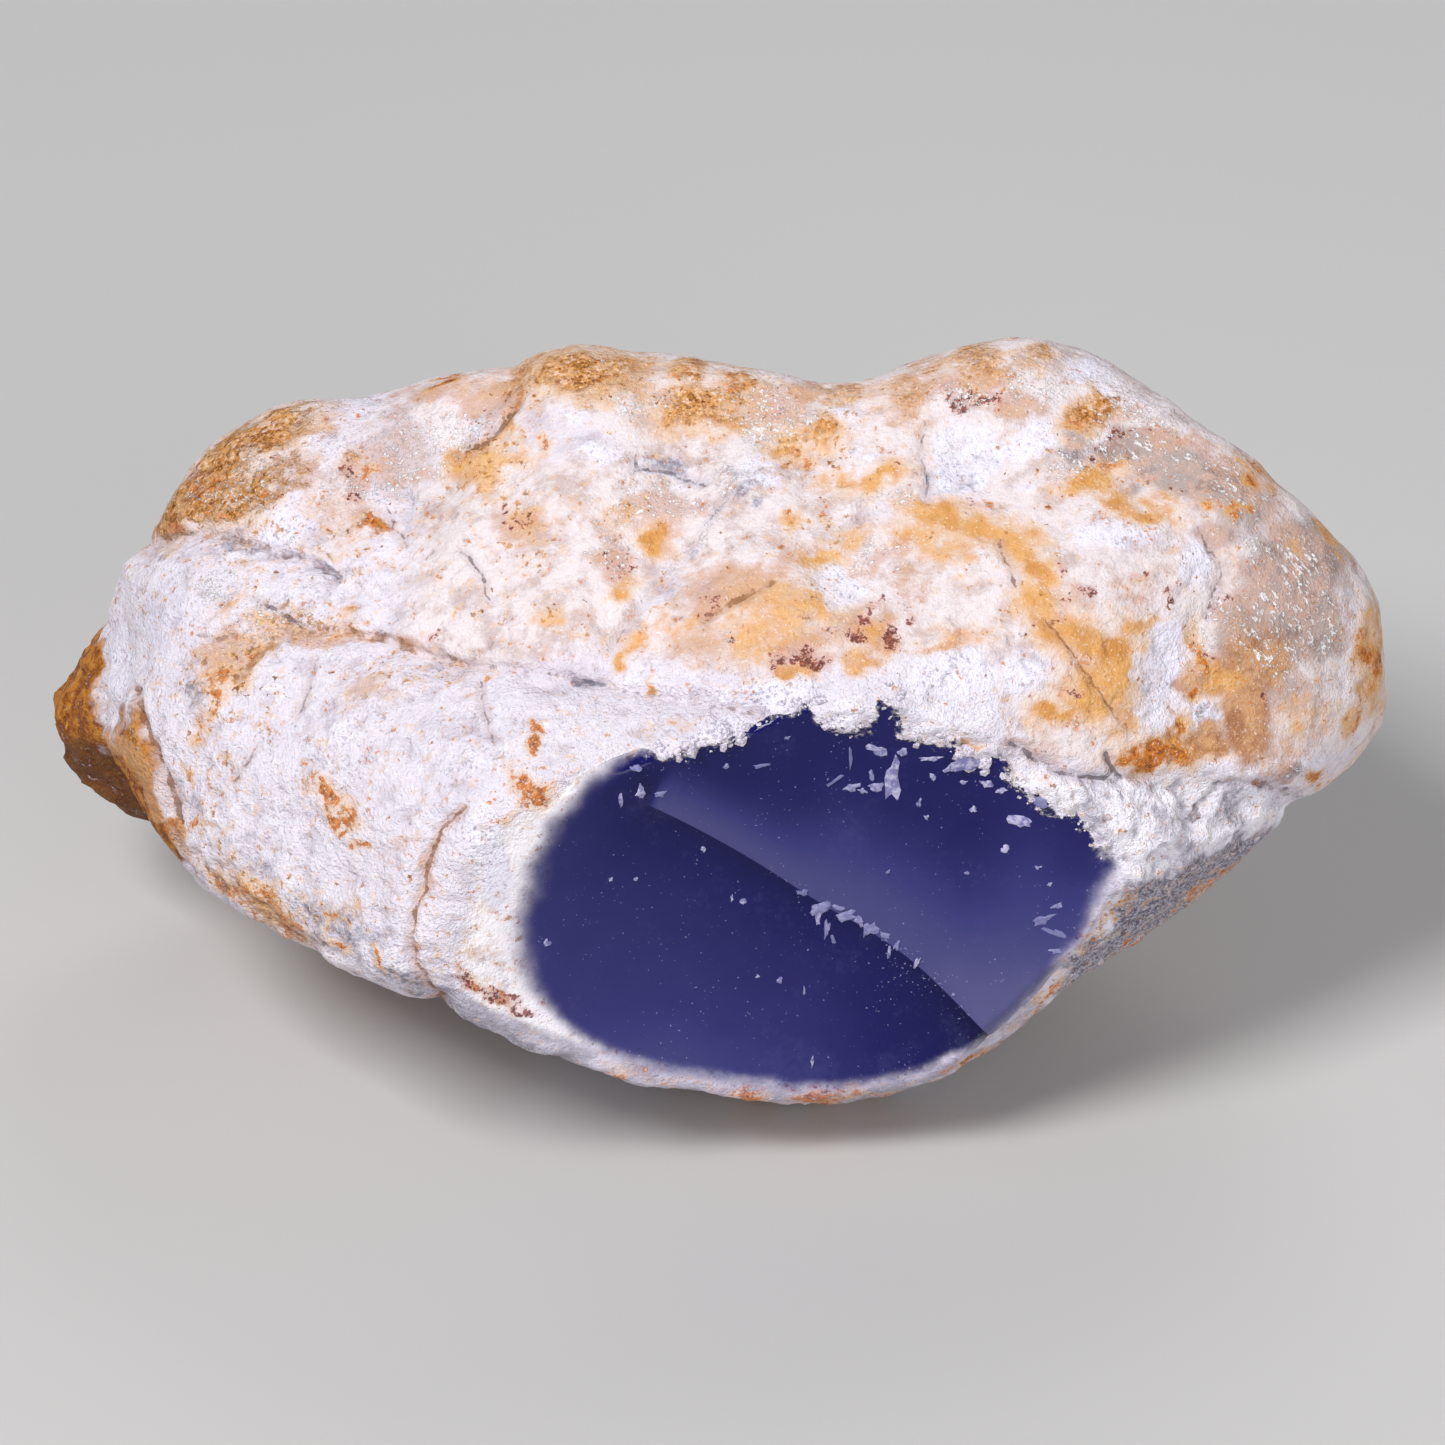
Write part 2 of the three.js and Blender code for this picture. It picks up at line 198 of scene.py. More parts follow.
def line_distance(x, y, line):
    """Distance to a line of points, the side (left is positive) and how far past an end."""
    best = np.full(x.shape, np.inf)
    side, end = np.zeros(x.shape), np.zeros(x.shape)
    for (x0, y0), (x1, y1) in zip(line, line[1:]):
        dx, dy = x1 - x0, y1 - y0
        along = ((x - x0) * dx + (y - y0) * dy) / (dx * dx + dy * dy)
        held = np.clip(along, 0, 1)
        distance = np.hypot(x - x0 - held * dx, y - y0 - held * dy)
        nearer = distance < best
        best = np.where(nearer, distance, best)
        side = np.where(nearer, np.sign(dx * (y - y0) - dy * (x - x0)), side)
        end = np.where(nearer, np.abs(along - held) * math.hypot(dx, dy), end)
    return best, side, end


def front_relief(x, y, out):
    """Swellings h exp(-d^2/r^2), and for each ledge a groove and a step that fades with distance."""
    height = np.zeros(x.shape)
    for cx, cy, radius, rise in SWELLINGS:
        height += rise * np.exp(-((x - cx) ** 2 + (y - cy) ** 2) / radius**2)
    for line, groove, step in LEDGES.values():
        distance, side, end = line_distance(x, y, line)
        ends = np.exp(-((end / GROOVE_HALF_WIDTH) ** 2))
        below = smooth(-side * distance, -GROOVE_HALF_WIDTH, GROOVE_HALF_WIDTH)
        height -= groove * np.exp(-((distance / GROOVE_HALF_WIDTH) ** 2))
        height -= step * ends * below * np.maximum(0, 1 - distance / STEP_FADE) ** 2
    return height * smooth(out, FRONT_BEGINS, FRONT_IS_FULL)


# ---------------------------------------------------------------------------
# Fine relief and marks, placed on the front: x to the right, y up
# ---------------------------------------------------------------------------

# Cracks: points, half width, depth, how much the crack shows, how rusty it is.
CRACKS = {
    "brow, left": ([(-25.9, 2.3), (-25.2, 3.2), (-24.2, 4.3), (-23, 4.9), (-21, 4.9), (-18, 4.5),
                    (-15.5, 3.5), (-14, 3.1)], 0.22, 0.3, 0.55, 0.85),
    "brow, middle": ([(-14, 3.1), (-13, 3.0), (-11, 2.9), (-9, 2.5), (-7.9, 2.3)], 0.08, 0.25, 0.5, 0.3),
    "brow, dark dash": ([(-8.2, 2.35), (-7.4, 2.1), (-6.5, 1.95)], 0.16, 0.3, 1, 0),
    "brow, right": ([(-6.5, 1.9), (-3, 1.3), (-1, 0.9), (2.2, 0.4)], 0.07, 0.2, 0.5, 0.3),
    "left twig": ([(-28, 4.7), (-27.3, 4.3), (-26.2, 4.6), (-25.2, 4.2)], 0.14, 0.2, 0.6, 0.6),
    "upper twig": ([(-25, 6.6), (-23.9, 6.1), (-22.9, 5.4), (-22.3, 4.9)], 0.09, 0.15, 0.9, 0.3),
    "shoulder": ([(-30.6, 9.4), (-29, 10.2), (-26.2, 9.9), (-24.8, 9.5), (-23.6, 9.0), (-22, 8.6),
                  (-20.7, 7.8)], 0.12, 0.35, 0.6, 0.45),
    "shoulder, dark end": ([(-22.2, 8.4), (-21.5, 8.2), (-20.7, 7.7)], 0.16, 0.2, 1, 0),
    "collar": ([(-13.9, -4.6), (-15.1, -5.8), (-15.7, -7.2), (-16.1, -9), (-16.5, -10.5), (-16.7, -11.7),
                (-16.4, -12.8), (-15.9, -13.8), (-15.1, -14.8)], 0.1, 0.35, 1, 0.9),
    "arch": ([(-14.3, 9.25), (-13.5, 8.7), (-13.1, 8.2), (-12.85, 7.6)], 0.08, 0.15, 1, 0.2),
    "arch, faint ends": ([(-16, 8.6), (-15.5, 9.2), (-14.3, 9.25)], 0.04, 0.1, 0.4, 0.3),
    "arch, lower end": ([(-12.85, 7.6), (-12.7, 6.8), (-12.2, 6.3)], 0.04, 0.1, 0.6, 0.3),
    "under the arch": ([(-12.4, 4.8), (-12.4, 3.2)], 0.03, 0.1, 0.5, 0.3),
    "below the brow": ([(-12.9, 2.2), (-12.9, 1.2), (-12.6, 0.2), (-12.4, -0.8)], 0.05, 0.15, 0.9, 0.4),
    "faint left": ([(-21.8, 3.4), (-22.1, 2.6), (-22.3, 1.4), (-22.8, 0.3)], 0.04, 0.15, 0.6, 0.6),
    "left sliver": ([(-31.4, 1.8), (-31.1, 0.2), (-30.5, -1.3), (-29.7, -3.4), (-29, -5.4)],
                    0.12, 0.4, 1, 0.9),
    "layer": ([(-28.4, -6.8), (-27, -8.4), (-25.2, -10), (-23.4, -11), (-21.4, -12)], 0.1, 0.3, 0.6, 0.7),
    "second layer": ([(-27.2, -7.4), (-25.6, -9.2), (-23.8, -10.4)], 0.08, 0.2, 0.5, 0.7),
    "chalk": ([(-13.6, 14.8), (-12.8, 15.1), (-12.3, 15.6), (-11.5, 16.5), (-10.9, 17.2)],
              0.13, 0.4, 1, 0.8),
    "glassy hollow": ([(-17.8, 11.2), (-17.6, 10.4), (-17.2, 9.8), (-17.1, 9.4)], 0.07, 0.15, 0.9, 0.2),
    "glassy hollow, edge": ([(-16.5, 12.1), (-16.7, 11.2), (-16.9, 10.5)], 0.04, 0.15, 0.6, 0),
    "pit, left": ([(-4.7, 14.3), (-4.75, 13.5)], 0.08, 0.2, 0.8, 0),
    "pit lip": ([(-4.3, 13.7), (-3.4, 13.6), (-2.6, 13.4), (-2, 13.1), (-1, 12.9)], 0.07, 0.3, 0.8, 0),
    "valley": ([(0.2, 12.2), (-0.3, 11.5), (-0.9, 10.6), (-1.8, 9.4), (-2.6, 8.2), (-3.4, 7.2), (-4.3, 6.2),
                (-5.3, 5), (-5.9, 3.9)], 0.04, 0.2, 0.3, 0.3),
    "granular hollow": ([(11.1, 13.8), (11.15, 13.1), (11, 12.5), (10.9, 11.9)], 0.1, 0.35, 1, 0),
    "above the granular hollow": ([(10.9, 16), (10.7, 15.1), (10.8, 14.4), (11.1, 13.8)],
                                  0.04, 0.25, 0.5, 0.2),
    "brown crest": ([(-0.9, 5.4), (0.2, 6.2), (1.4, 6.9), (2.7, 7.5)], 0.14, 0.15, 0.9, 1),
    "slanting": ([(14.8, 9.6), (15.2, 8.7), (15.7, 7.4)], 0.06, 0.15, 0.9, 0.5),
    "long slanting": ([(17.4, 5.4), (18.2, 4.4), (19.2, 3.2), (20, 1.9), (20.8, 0.8), (21.8, -0.6)],
                      0.05, 0.15, 0.8, 1),
    "beside the window": ([(15.6, -1.1), (16.8, -2), (18, -2.6), (19.3, -3), (20.7, -3), (21.4, -3.4)],
                          0.11, 0.35, 1, 0.1),
    "tooth": ([(20.6, -1.7), (21.3, -3.1)], 0.1, 0.3, 1, 0.1),
    "glassy end": ([(25.4, 10.6), (26.1, 9.4), (26.6, 8.6), (26.8, 8), (26.4, 6.8), (26.0, 5.6)],
                   0.06, 0.3, 0.9, 0.3),
    "notch": ([(25.2, -5.4), (25.8, -4), (26.5, -3.3), (28.6, -3.2), (30.8, -3.9)], 0.15, 0.35, 0.7, 0.2),
    "curl": ([(4.9, 13.4), (4.4, 12.8), (4.1, 12.3)], 0.04, 0.1, 0.6, 0.5),
    "short": ([(-24.9, -1.2), (-25.5, -2.4), (-26.1, -3.2)], 0.07, 0.12, 0.5, 0.5),
}

# Marks: x, y, half length, half width, turn in degrees, strength.
OCHRE = [
    (-7.6, 18.7, 3.0, 1.2, 2, 1), (-10.8, 18.2, 1.2, 0.5, 30, 0.6), (-1.2, 17.0, 2.2, 1.1, 12, 1),
    (-2.9, 16.3, 0.6, 0.8, 0, 0.9), (0.3, 16.1, 1.2, 0.7, -20, 0.8), (-2.0, 18.9, 0.7, 0.6, 0, 0.9),
    (1.0, 18.4, 1.0, 0.4, -10, 0.9), (5.2, 15.5, 1.1, 0.7, 0, 1), (3.6, 14.5, 0.9, 0.5, -20, 0.9),
    (6.4, 17.6, 1.4, 0.5, 0, 0.6), (9.8, 17.2, 1.0, 1.2, 0, 0.5), (10.6, 18.6, 1.6, 0.4, 20, 0.5),
    (8.4, 13.0, 1.4, 0.5, 25, 0.9), (6.8, 12.7, 0.5, 0.3, 0, 0.8), (-3.5, 9.7, 0.8, 0.8, 0, 1),
    (-5.5, 7.2, 0.6, 0.6, 0, 1), (-9.2, 5.6, 0.7, 0.4, 0, 0.6), (-5.2, 11.5, 0.7, 0.6, 0, 0.5),
    (5.2, 8.7, 1.3, 0.35, 0, 0.9), (6.9, 9.8, 0.8, 0.4, 10, 0.6), (3.4, 10.8, 0.5, 0.5, 0, 0.7),
    (5.4, 12.6, 0.9, 0.6, 0, 0.5), (3.0, 5.6, 3.0, 1.8, 20, 0.62), (1.6, 4.4, 2.2, 1.2, 0, 0.6),
    (-2.6, 5.2, 1.4, 0.8, 20, 0.45), (-4.6, 4.4, 1.6, 0.4, 45, 0.6), (8.2, 4.6, 1.6, 0.9, 0, 0.65),
    (5.0, 6.4, 1.6, 0.9, 0, 0.7), (3.6, 2.6, 1.3, 0.6, 0, 0.8), (7.6, 3.4, 1.2, 0.5, 0, 0.7),
    (-5.5, 3.2, 0.4, 0.4, 0, 0.9), (-3.8, 1.6, 0.12, 0.6, -14, 1), (-2.8, -0.3, 1.0, 0.25, 0, 0.5),
    (11.6, 10.9, 1.9, 0.8, -12, 0.95), (14.2, 10.2, 1.8, 0.8, -10, 0.85), (10.2, 9.9, 1.6, 0.7, 0, 0.6),
    (12.4, 9.3, 2.2, 0.6, 10, 0.6), (15.6, 9.5, 1.3, 0.9, -50, 1), (16.8, 8.0, 0.9, 1.5, 20, 0.9),
    (16.8, 6.4, 1.0, 1.4, 10, 0.8), (17.8, 5.0, 1.4, 1.2, -40, 0.85), (19.6, 4.2, 2.2, 1.0, -10, 1),
    (20.8, 3.0, 1.3, 1.8, 0, 1), (19.8, 1.6, 1.6, 1.4, 30, 1), (18.0, 0.7, 1.5, 0.5, 20, 0.85),
    (21.4, 0.2, 0.8, 1.0, 40, 0.6), (22.2, 5.2, 0.9, 0.5, 20, 0.8), (20.6, -0.5, 1.4, 0.5, -10, 0.5),
    (17.4, -0.2, 1.4, 0.6, 0, 0.4), (12.0, 4.3, 1.6, 0.6, 15, 0.65), (13.0, -0.9, 0.6, 0.25, 0, 0.6),
    (12.2, -1.6, 0.2, 0.2, 0, 0.7), (21.3, -2.0, 0.9, 0.6, 0, 0.9),
    (23.4, -1.7, 2.4, 0.8, 4, 1), (24.2, 0.2, 0.45, 0.9, 10, 1),
    (25.3, 3.6, 0.6, 1.2, 0, 0.9), (25.1, 1.7, 0.45, 0.5, 0, 1), (26.6, 2.4, 1.0, 1.0, 0, 0.7),
    (19.8, 16.6, 1.5, 0.8, 25, 1), (18.7, 15.8, 0.9, 0.4, 35, 0.9), (20.9, 17.4, 0.4, 0.3, 0, 0.9),
    (19.9, 18.0, 0.5, 0.5, 0, 0.6), (19.6, 12.9, 1.4, 0.6, 15, 1), (18.6, 12.5, 0.6, 0.4, 0, 0.8),
    (20.6, 13.7, 0.7, 0.5, 0, 0.9), (21.0, 11.9, 0.9, 0.7, 0, 0.8), (22.6, 11.0, 1.6, 0.6, -10, 0.9),
    (23.6, 12.0, 0.8, 0.5, -30, 0.6), (13.6, 19.4, 1.6, 0.8, 0, 0.6), (15.4, 18.9, 1.6, 0.6, 0, 0.5),
    (16.8, 19.7, 0.8, 0.3, 0, 0.6), (28.4, 12.8, 0.6, 0.5, -45, 1), (28.0, 13.7, 0.5, 0.2, -30, 0.8),
    (26.0, 11.8, 0.5, 0.25, 0, 0.9), (27.6, 11.5, 0.6, 0.35, -20, 0.9), (32.2, 10.2, 0.3, 0.9, 48, 1),
    (30.6, 9.3, 0.35, 0.3, 0, 0.7), (32.6, 8.9, 0.2, 0.5, 30, 0.7), (34.5, 3.0, 0.7, 2.2, 8, 0.9),
    (34.9, 5.6, 0.25, 1.4, 0, 0.8), (33.6, 0.6, 0.4, 1.6, -20, 0.6), (31.0, 0.4, 1.4, 1.0, 0, 0.45),
    (31.6, -2.9, 0.4, 0.6, -30, 0.7), (33.0, -3.0, 1.4, 0.25, 50, 0.9), (-24.4, 15.4, 2.6, 0.9, 22, 1),
    (-26.6, 13.8, 2.4, 1.2, 42, 1), (-28.6, 11.8, 2.2, 0.9, 45, 1), (-29.6, 10.6, 1.0, 0.5, 45, 0.9),
    (-26.6, 11.8, 1.8, 1.2, 10, 0.95), (-24.6, 12.4, 0.8, 0.9, 0, 0.9), (-27.8, 10.8, 1.6, 0.5, 0, 0.8),
    (-23.6, 13.6, 1.2, 1.0, 0, 0.55), (-22.2, 16.6, 1.0, 0.5, 0, 0.6), (-22.6, 12.6, 1.0, 1.0, 0, 0.4),
    (-19.6, 13.9, 0.6, 0.4, 0, 0.6), (-18.4, 10.5, 1.0, 0.3, -10, 0.8), (-21.2, 8.9, 0.8, 0.25, -10, 0.6),
    (-13.8, 14.2, 1.4, 0.5, 38, 0.9), (-12.6, 14.8, 1.2, 0.4, 45, 0.8), (-11.4, 16.2, 0.8, 0.3, 50, 0.9),
    (-12.4, 13.6, 1.8, 0.6, 10, 0.75), (-12.4, 12.4, 0.6, 0.8, 0, 0.5), (-10.8, 17.2, 0.4, 0.5, 0, 0.8),
    (-14.8, 18.3, 0.9, 0.2, 25, 0.8), (-10.4, 11.0, 1.2, 0.9, 0, 0.4), (-25.2, 8.4, 1.4, 0.3, 5, 0.5),
    (-26.4, 6.4, 1.2, 0.5, 30, 0.5), (-24.6, 5.3, 1.4, 0.4, 0, 0.55), (-25.0, 3.4, 2.0, 0.45, 55, 0.7),
    (-27.0, 2.6, 0.7, 1.4, -10, 0.5), (-20.6, 4.9, 1.8, 0.25, -6, 0.6), (-17.2, 4.0, 0.8, 0.25, -8, 0.5),
    (-20.0, 5.9, 0.4, 0.3, 0, 0.7), (-18.8, 5.5, 0.4, 0.15, 0, 0.7), (-14.0, 5.4, 0.15, 0.4, 0, 0.7),
    (-12.2, 2.5, 0.25, 0.2, 0, 0.9), (-13.4, 1.5, 0.5, 0.4, 0, 0.5), (-20.8, -10.0, 0.8, 0.5, 0, 0.5),
    (-12.8, -9.6, 0.5, 0.4, 0, 0.4), (-10.6, -9.4, 0.4, 0.8, 0, 0.35), (-25.0, -9.6, 1.8, 0.5, -42, 0.7),
]
DEEP_ORANGE = [
    (-21.4, -3.6, 0.7, 0.5, -40, 0.9), (-20.8, -4.2, 0.8, 0.4, -20, 0.9), (-20.3, -4.8, 0.5, 0.5, 0, 0.6),
    (-21.0, -5.2, 0.4, 0.5, 0, 0.9), (-19.9, -5.2, 0.7, 0.4, -20, 0.9), (-20.4, -5.8, 0.4, 0.25, 0, 0.9),
    (-19.5, -4.6, 0.4, 0.3, 0, 0.6), (-19.4, -6.6, 0.3, 0.2, 0, 0.8), (-22.7, -2.0, 0.3, 0.2, 0, 0.7),
    (-10.4, -1.4, 0.25, 0.4, 0, 0.9), (-10.1, -0.6, 0.15, 0.4, -20, 0.9), (-10.6, -2.7, 0.4, 0.5, 20, 0.9),
    (-11.1, -3.1, 0.4, 0.2, 0, 0.7), (-10.0, -3.4, 0.8, 0.5, -20, 1), (-9.5, -3.9, 0.3, 0.5, 10, 0.9),
    (-10.6, -4.4, 0.5, 0.4, 30, 0.8), (-10.6, -3.3, 1.0, 0.5, -50, 0.95), (-9.7, -4.1, 0.6, 0.5, -30, 0.9),
    (-13.2, -14.0, 0.8, 0.25, -48, 0.85), (-11.8, -14.9, 0.7, 0.2, -30, 0.8),
    (-11.7, -5.4, 0.8, 0.26, 18, 0.9), (-12.3, -4.3, 0.3, 0.15, 20, 0.5),
    (-27.0, 1.0, 0.3, 0.8, -6, 1), (-26.8, 2.2, 0.4, 0.5, 0, 0.7), (-28.1, -0.6, 0.15, 0.5, -15, 0.9),
    (-26.3, 4.5, 0.6, 0.25, 0, 0.8), (-25.0, 3.6, 0.5, 0.3, 50, 0.6), (-25.8, 5.2, 0.5, 0.2, 20, 0.6),
    (-28.1, -5.4, 0.4, 0.25, -30, 0.8), (-28.5, -3.1, 0.15, 0.4, -20, 0.8),
    (-30.2, -3.3, 0.15, 0.5, 10, 0.9), (-29.2, -5.8, 0.2, 0.5, 20, 0.8), (-26.7, -8.4, 0.7, 0.35, -40, 0.9),
    (-26.2, -9.0, 0.5, 0.3, -50, 0.9), (-25.4, -9.2, 0.4, 0.7, 40, 0.8), (-24.4, -9.1, 0.5, 0.5, -30, 0.95),
    (-24.0, -9.8, 0.7, 0.4, -50, 0.9), (-23.4, -10.8, 0.9, 0.35, -45, 0.9),
    (-25.2, -10.2, 0.9, 0.25, -42, 0.8), (-22.8, -11.4, 0.5, 0.2, -30, 0.7),
    (-20.5, -11.9, 0.5, 0.2, -20, 1), (-18.2, -12.7, 0.5, 0.25, -50, 1), (-21.0, -9.9, 0.3, 0.2, 0, 0.7),
    (-15.6, -14.8, 0.7, 0.15, -35, 0.8), (-16.4, -11.9, 0.2, 0.5, 0, 0.6),
    (-20.7, -12.8, 1.4, 0.2, -22, 0.4), (0.5, 18.2, 0.3, 0.6, -20, 0.9), (0.9, 17.6, 0.3, 0.5, -20, 0.8),
    (1.6, 18.3, 0.4, 0.15, 0, 0.8), (-2.2, 18.6, 0.15, 0.5, 0, 0.8), (-6.6, 19.5, 0.8, 0.2, 0, 0.7),
    (-8.6, 18.5, 0.5, 0.15, 45, 0.7), (4.1, 14.0, 0.5, 0.25, 15, 1), (-9.3, 14.7, 0.35, 0.35, 0, 0.9),
    (3.2, 11.2, 0.15, 0.4, -25, 0.9), (5.4, 10.9, 0.3, 0.12, 10, 0.9), (3.4, 9.6, 0.15, 0.35, -20, 0.6),
    (3.3, 14.6, 0.3, 0.15, 0, 0.8), (-18.7, 13.6, 0.2, 0.6, -35, 1), (-18.4, 10.5, 0.8, 0.25, -8, 0.9),
    (-20.9, 10.3, 0.35, 0.15, 0, 0.9), (-12.0, 16.1, 0.9, 0.15, 50, 0.6),
    (-10.8, 17.2, 0.3, 0.45, -20, 0.9), (-11.6, 17.6, 0.3, 0.2, 0, 0.9), (-14.8, 18.3, 0.8, 0.15, 25, 0.9),
    (-21.7, 16.5, 0.2, 0.15, 0, 0.9), (-27.4, 12.4, 1.2, 0.3, 45, 0.8), (-26.8, 11.0, 0.9, 0.25, 10, 0.8),
    (-28.6, 11.4, 1.0, 0.25, 45, 0.8), (-27.0, 13.2, 0.8, 0.3, 30, 0.7), (-25.6, 13.0, 0.6, 0.25, 0, 0.7),
    (-24.4, 12.3, 0.5, 0.4, 0, 0.7), (-25.6, 11.6, 0.5, 0.3, -20, 0.6), (-29.4, 10.9, 0.6, 0.3, 50, 0.7),
    (20.2, 16.4, 0.8, 0.2, 20, 0.7), (18.8, 16.0, 0.6, 0.15, 45, 0.8), (20.6, 13.7, 0.5, 0.35, 0, 0.9),
    (20.9, 17.3, 0.25, 0.2, 0, 0.8), (28.4, 12.8, 0.5, 0.3, -45, 1), (27.8, 11.3, 0.4, 0.25, -20, 1),
    (26.0, 11.8, 0.4, 0.2, 0, 0.9), (26.9, 11.6, 0.4, 0.1, 20, 0.8), (28.2, 13.6, 0.4, 0.12, -20, 0.8),
    (23.2, 10.9, 0.35, 0.2, 0, 0.9), (17.5, 11.7, 0.2, 0.2, -45, 1), (17.4, 12.3, 0.2, 0.1, 20, 0.8),
    (14.1, 11.8, 0.15, 0.1, 0, 1), (23.4, -1.9, 1.2, 0.5, 6, 1), (24.6, -1.5, 0.8, 0.4, 0, 1),
    (21.2, -2.1, 0.6, 0.4, 0, 0.9), (24.2, -0.4, 0.35, 0.6, 0, 0.8), (25.2, 1.8, 0.35, 0.4, 0, 0.9),
    (25.4, 3.4, 0.25, 0.8, 0, 0.7), (34.5, 2.9, 0.5, 1.4, 6, 1), (34.1, 1.4, 0.3, 0.7, -10, 0.9),
    (33.8, 4.3, 0.3, 0.6, 0, 0.6), (33.7, 0.2, 0.2, 0.6, -15, 0.5), (33.0, -3.2, 1.2, 0.15, 52, 0.9),
    (31.6, -3.0, 0.3, 0.5, -40, 0.7), (28.9, -3.5, 0.3, 0.15, 0, 0.8),
    (22.4, -1.7, 1.6, 0.7, 4, 0.9), (24.2, -1.8, 1.4, 0.7, 4, 0.9), (19.4, 2.6, 1.2, 0.5, -60, 0.35),
    (1.6, -19.9, 1.2, 0.25, -4, 0.8), (5.2, -20.1, 1.0, 0.3, 0, 0.9), (8.6, -19.8, 1.8, 0.2, 0, 0.8),
    (12.8, -18.2, 1.6, 0.2, 32, 0.6), (14.4, -17.6, 1.4, 0.2, 42, 0.9), (17.3, -14.6, 1.2, 0.2, 42, 0.7),
    (-4.6, -18.9, 1.4, 0.2, -16, 0.6), (-1.6, -19.2, 1.5, 0.2, 0, 0.6), (22.2, -11.6, 2.6, 0.18, 33, 0.55),
    (25.6, -8.9, 2.4, 0.16, 38, 0.6), (29.0, -6.3, 1.6, 0.18, 40, 0.45),
]
CRIMSON = [
    (-13.6, -13.8, 0.8, 0.3, -48, 1), (-12.5, -14.4, 0.8, 0.25, -52, 0.9),
    (-11.0, -15.1, 1.3, 0.2, -18, 0.9), (4.9, -19.6, 1.4, 0.22, 0, 0.9), (13.9, 17.4, 1.2, 0.35, 12, 1),
    (12.5, 16.8, 0.6, 0.35, 30, 1), (14.8, 17.3, 0.5, 0.4, 0, 0.9), (12.2, 17.5, 0.4, 0.2, 0, 0.7),
    (4.4, 3.3, 1.3, 0.7, 20, 1), (3.0, 3.3, 0.6, 0.6, 0, 1), (6.9, 4.6, 0.8, 0.45, -25, 1),
    (7.5, 5.5, 0.7, 0.45, 38, 1), (8.2, 6.3, 0.5, 0.2, 40, 0.8), (9.1, 4.8, 0.75, 0.5, -38, 1),
    (10.4, 5.5, 0.25, 0.4, 0, 0.8), (9.5, 6.7, 0.4, 0.35, 0, 0.5), (5.8, 5.4, 0.3, 0.2, 0, 0.6),
    (-0.8, 6.0, 0.8, 0.5, 20, 0.9), (0.2, 4.5, 0.5, 0.3, 0, 0.7), (-5.6, 8.4, 1.2, 0.6, 0, 0.3),
    (-11.0, 10.9, 0.9, 0.3, 0, 0.6), (-11.4, 11.6, 0.3, 0.2, 0, 0.7), (-10.0, 11.0, 0.3, 0.3, 0, 0.7),
    (-19.9, 13.3, 0.5, 0.4, 0, 0.9), (-19.6, 12.2, 0.5, 0.4, 0, 0.8), (-17.9, 12.2, 0.3, 0.2, 0, 0.8),
    (-13.4, 14.8, 1.0, 0.16, 32, 0.9), (-15.4, 4.5, 0.4, 0.4, 0, 0.7), (18.1, 8.2, 0.2, 0.5, 0, 1),
    (19.3, 6.9, 0.4, 0.45, 0, 0.9), (18.6, 6.6, 0.4, 0.25, 0, 0.6), (17.7, 5.9, 0.4, 0.4, 0, 0.6),
    (16.4, 5.6, 0.2, 0.15, 0, 0.9), (15.9, 5.0, 0.2, 0.2, 0, 0.9), (15.3, 4.7, 0.12, 0.12, 0, 0.8),
    (18.7, 1.8, 0.6, 0.2, 0, 1), (16.9, 1.2, 0.15, 0.3, 30, 0.9), (20.8, 15.2, 0.9, 0.3, 10, 0.9),
    (20.4, 14.6, 0.5, 0.4, 0, 0.7), (22.3, 15.5, 0.4, 0.25, 0, 0.8), (19.9, 13.9, 0.2, 0.25, 0, 1),
    (22.2, 13.6, 0.3, 0.15, -40, 0.9), (22.9, 14.3, 0.3, 0.12, -40, 0.7), (24.0, 12.4, 0.5, 0.15, -25, 0.6),
    (26.8, 6.6, 0.35, 0.5, 0, 0.9), (26.4, 6.0, 0.2, 0.3, 0, 0.6), (25.8, 3.7, 0.3, 0.7, 20, 0.8),
    (24.2, 7.0, 0.3, 0.4, 20, 0.7), (22.5, 7.8, 0.2, 0.15, 0, 0.8), (28.6, 4.2, 0.5, 0.4, 0, 0.3),
    (33.4, 2.9, 0.15, 0.4, 0, 0.9), (28.9, 1.8, 0.3, 0.2, 0, 0.8), (13.4, 11.5, 0.4, 0.2, -10, 0.7),
    (12.8, 5.0, 0.3, 0.4, 0, 0.4), (3.0, 16.4, 0.4, 0.4, 0, 0.6), (0.4, 4.0, 0.3, 0.3, 0, 0.5),
    (8.4, 13.9, 0.4, 0.2, 0, 0.6), (23.9, 8.6, 0.1, 0.1, 0, 1),
]
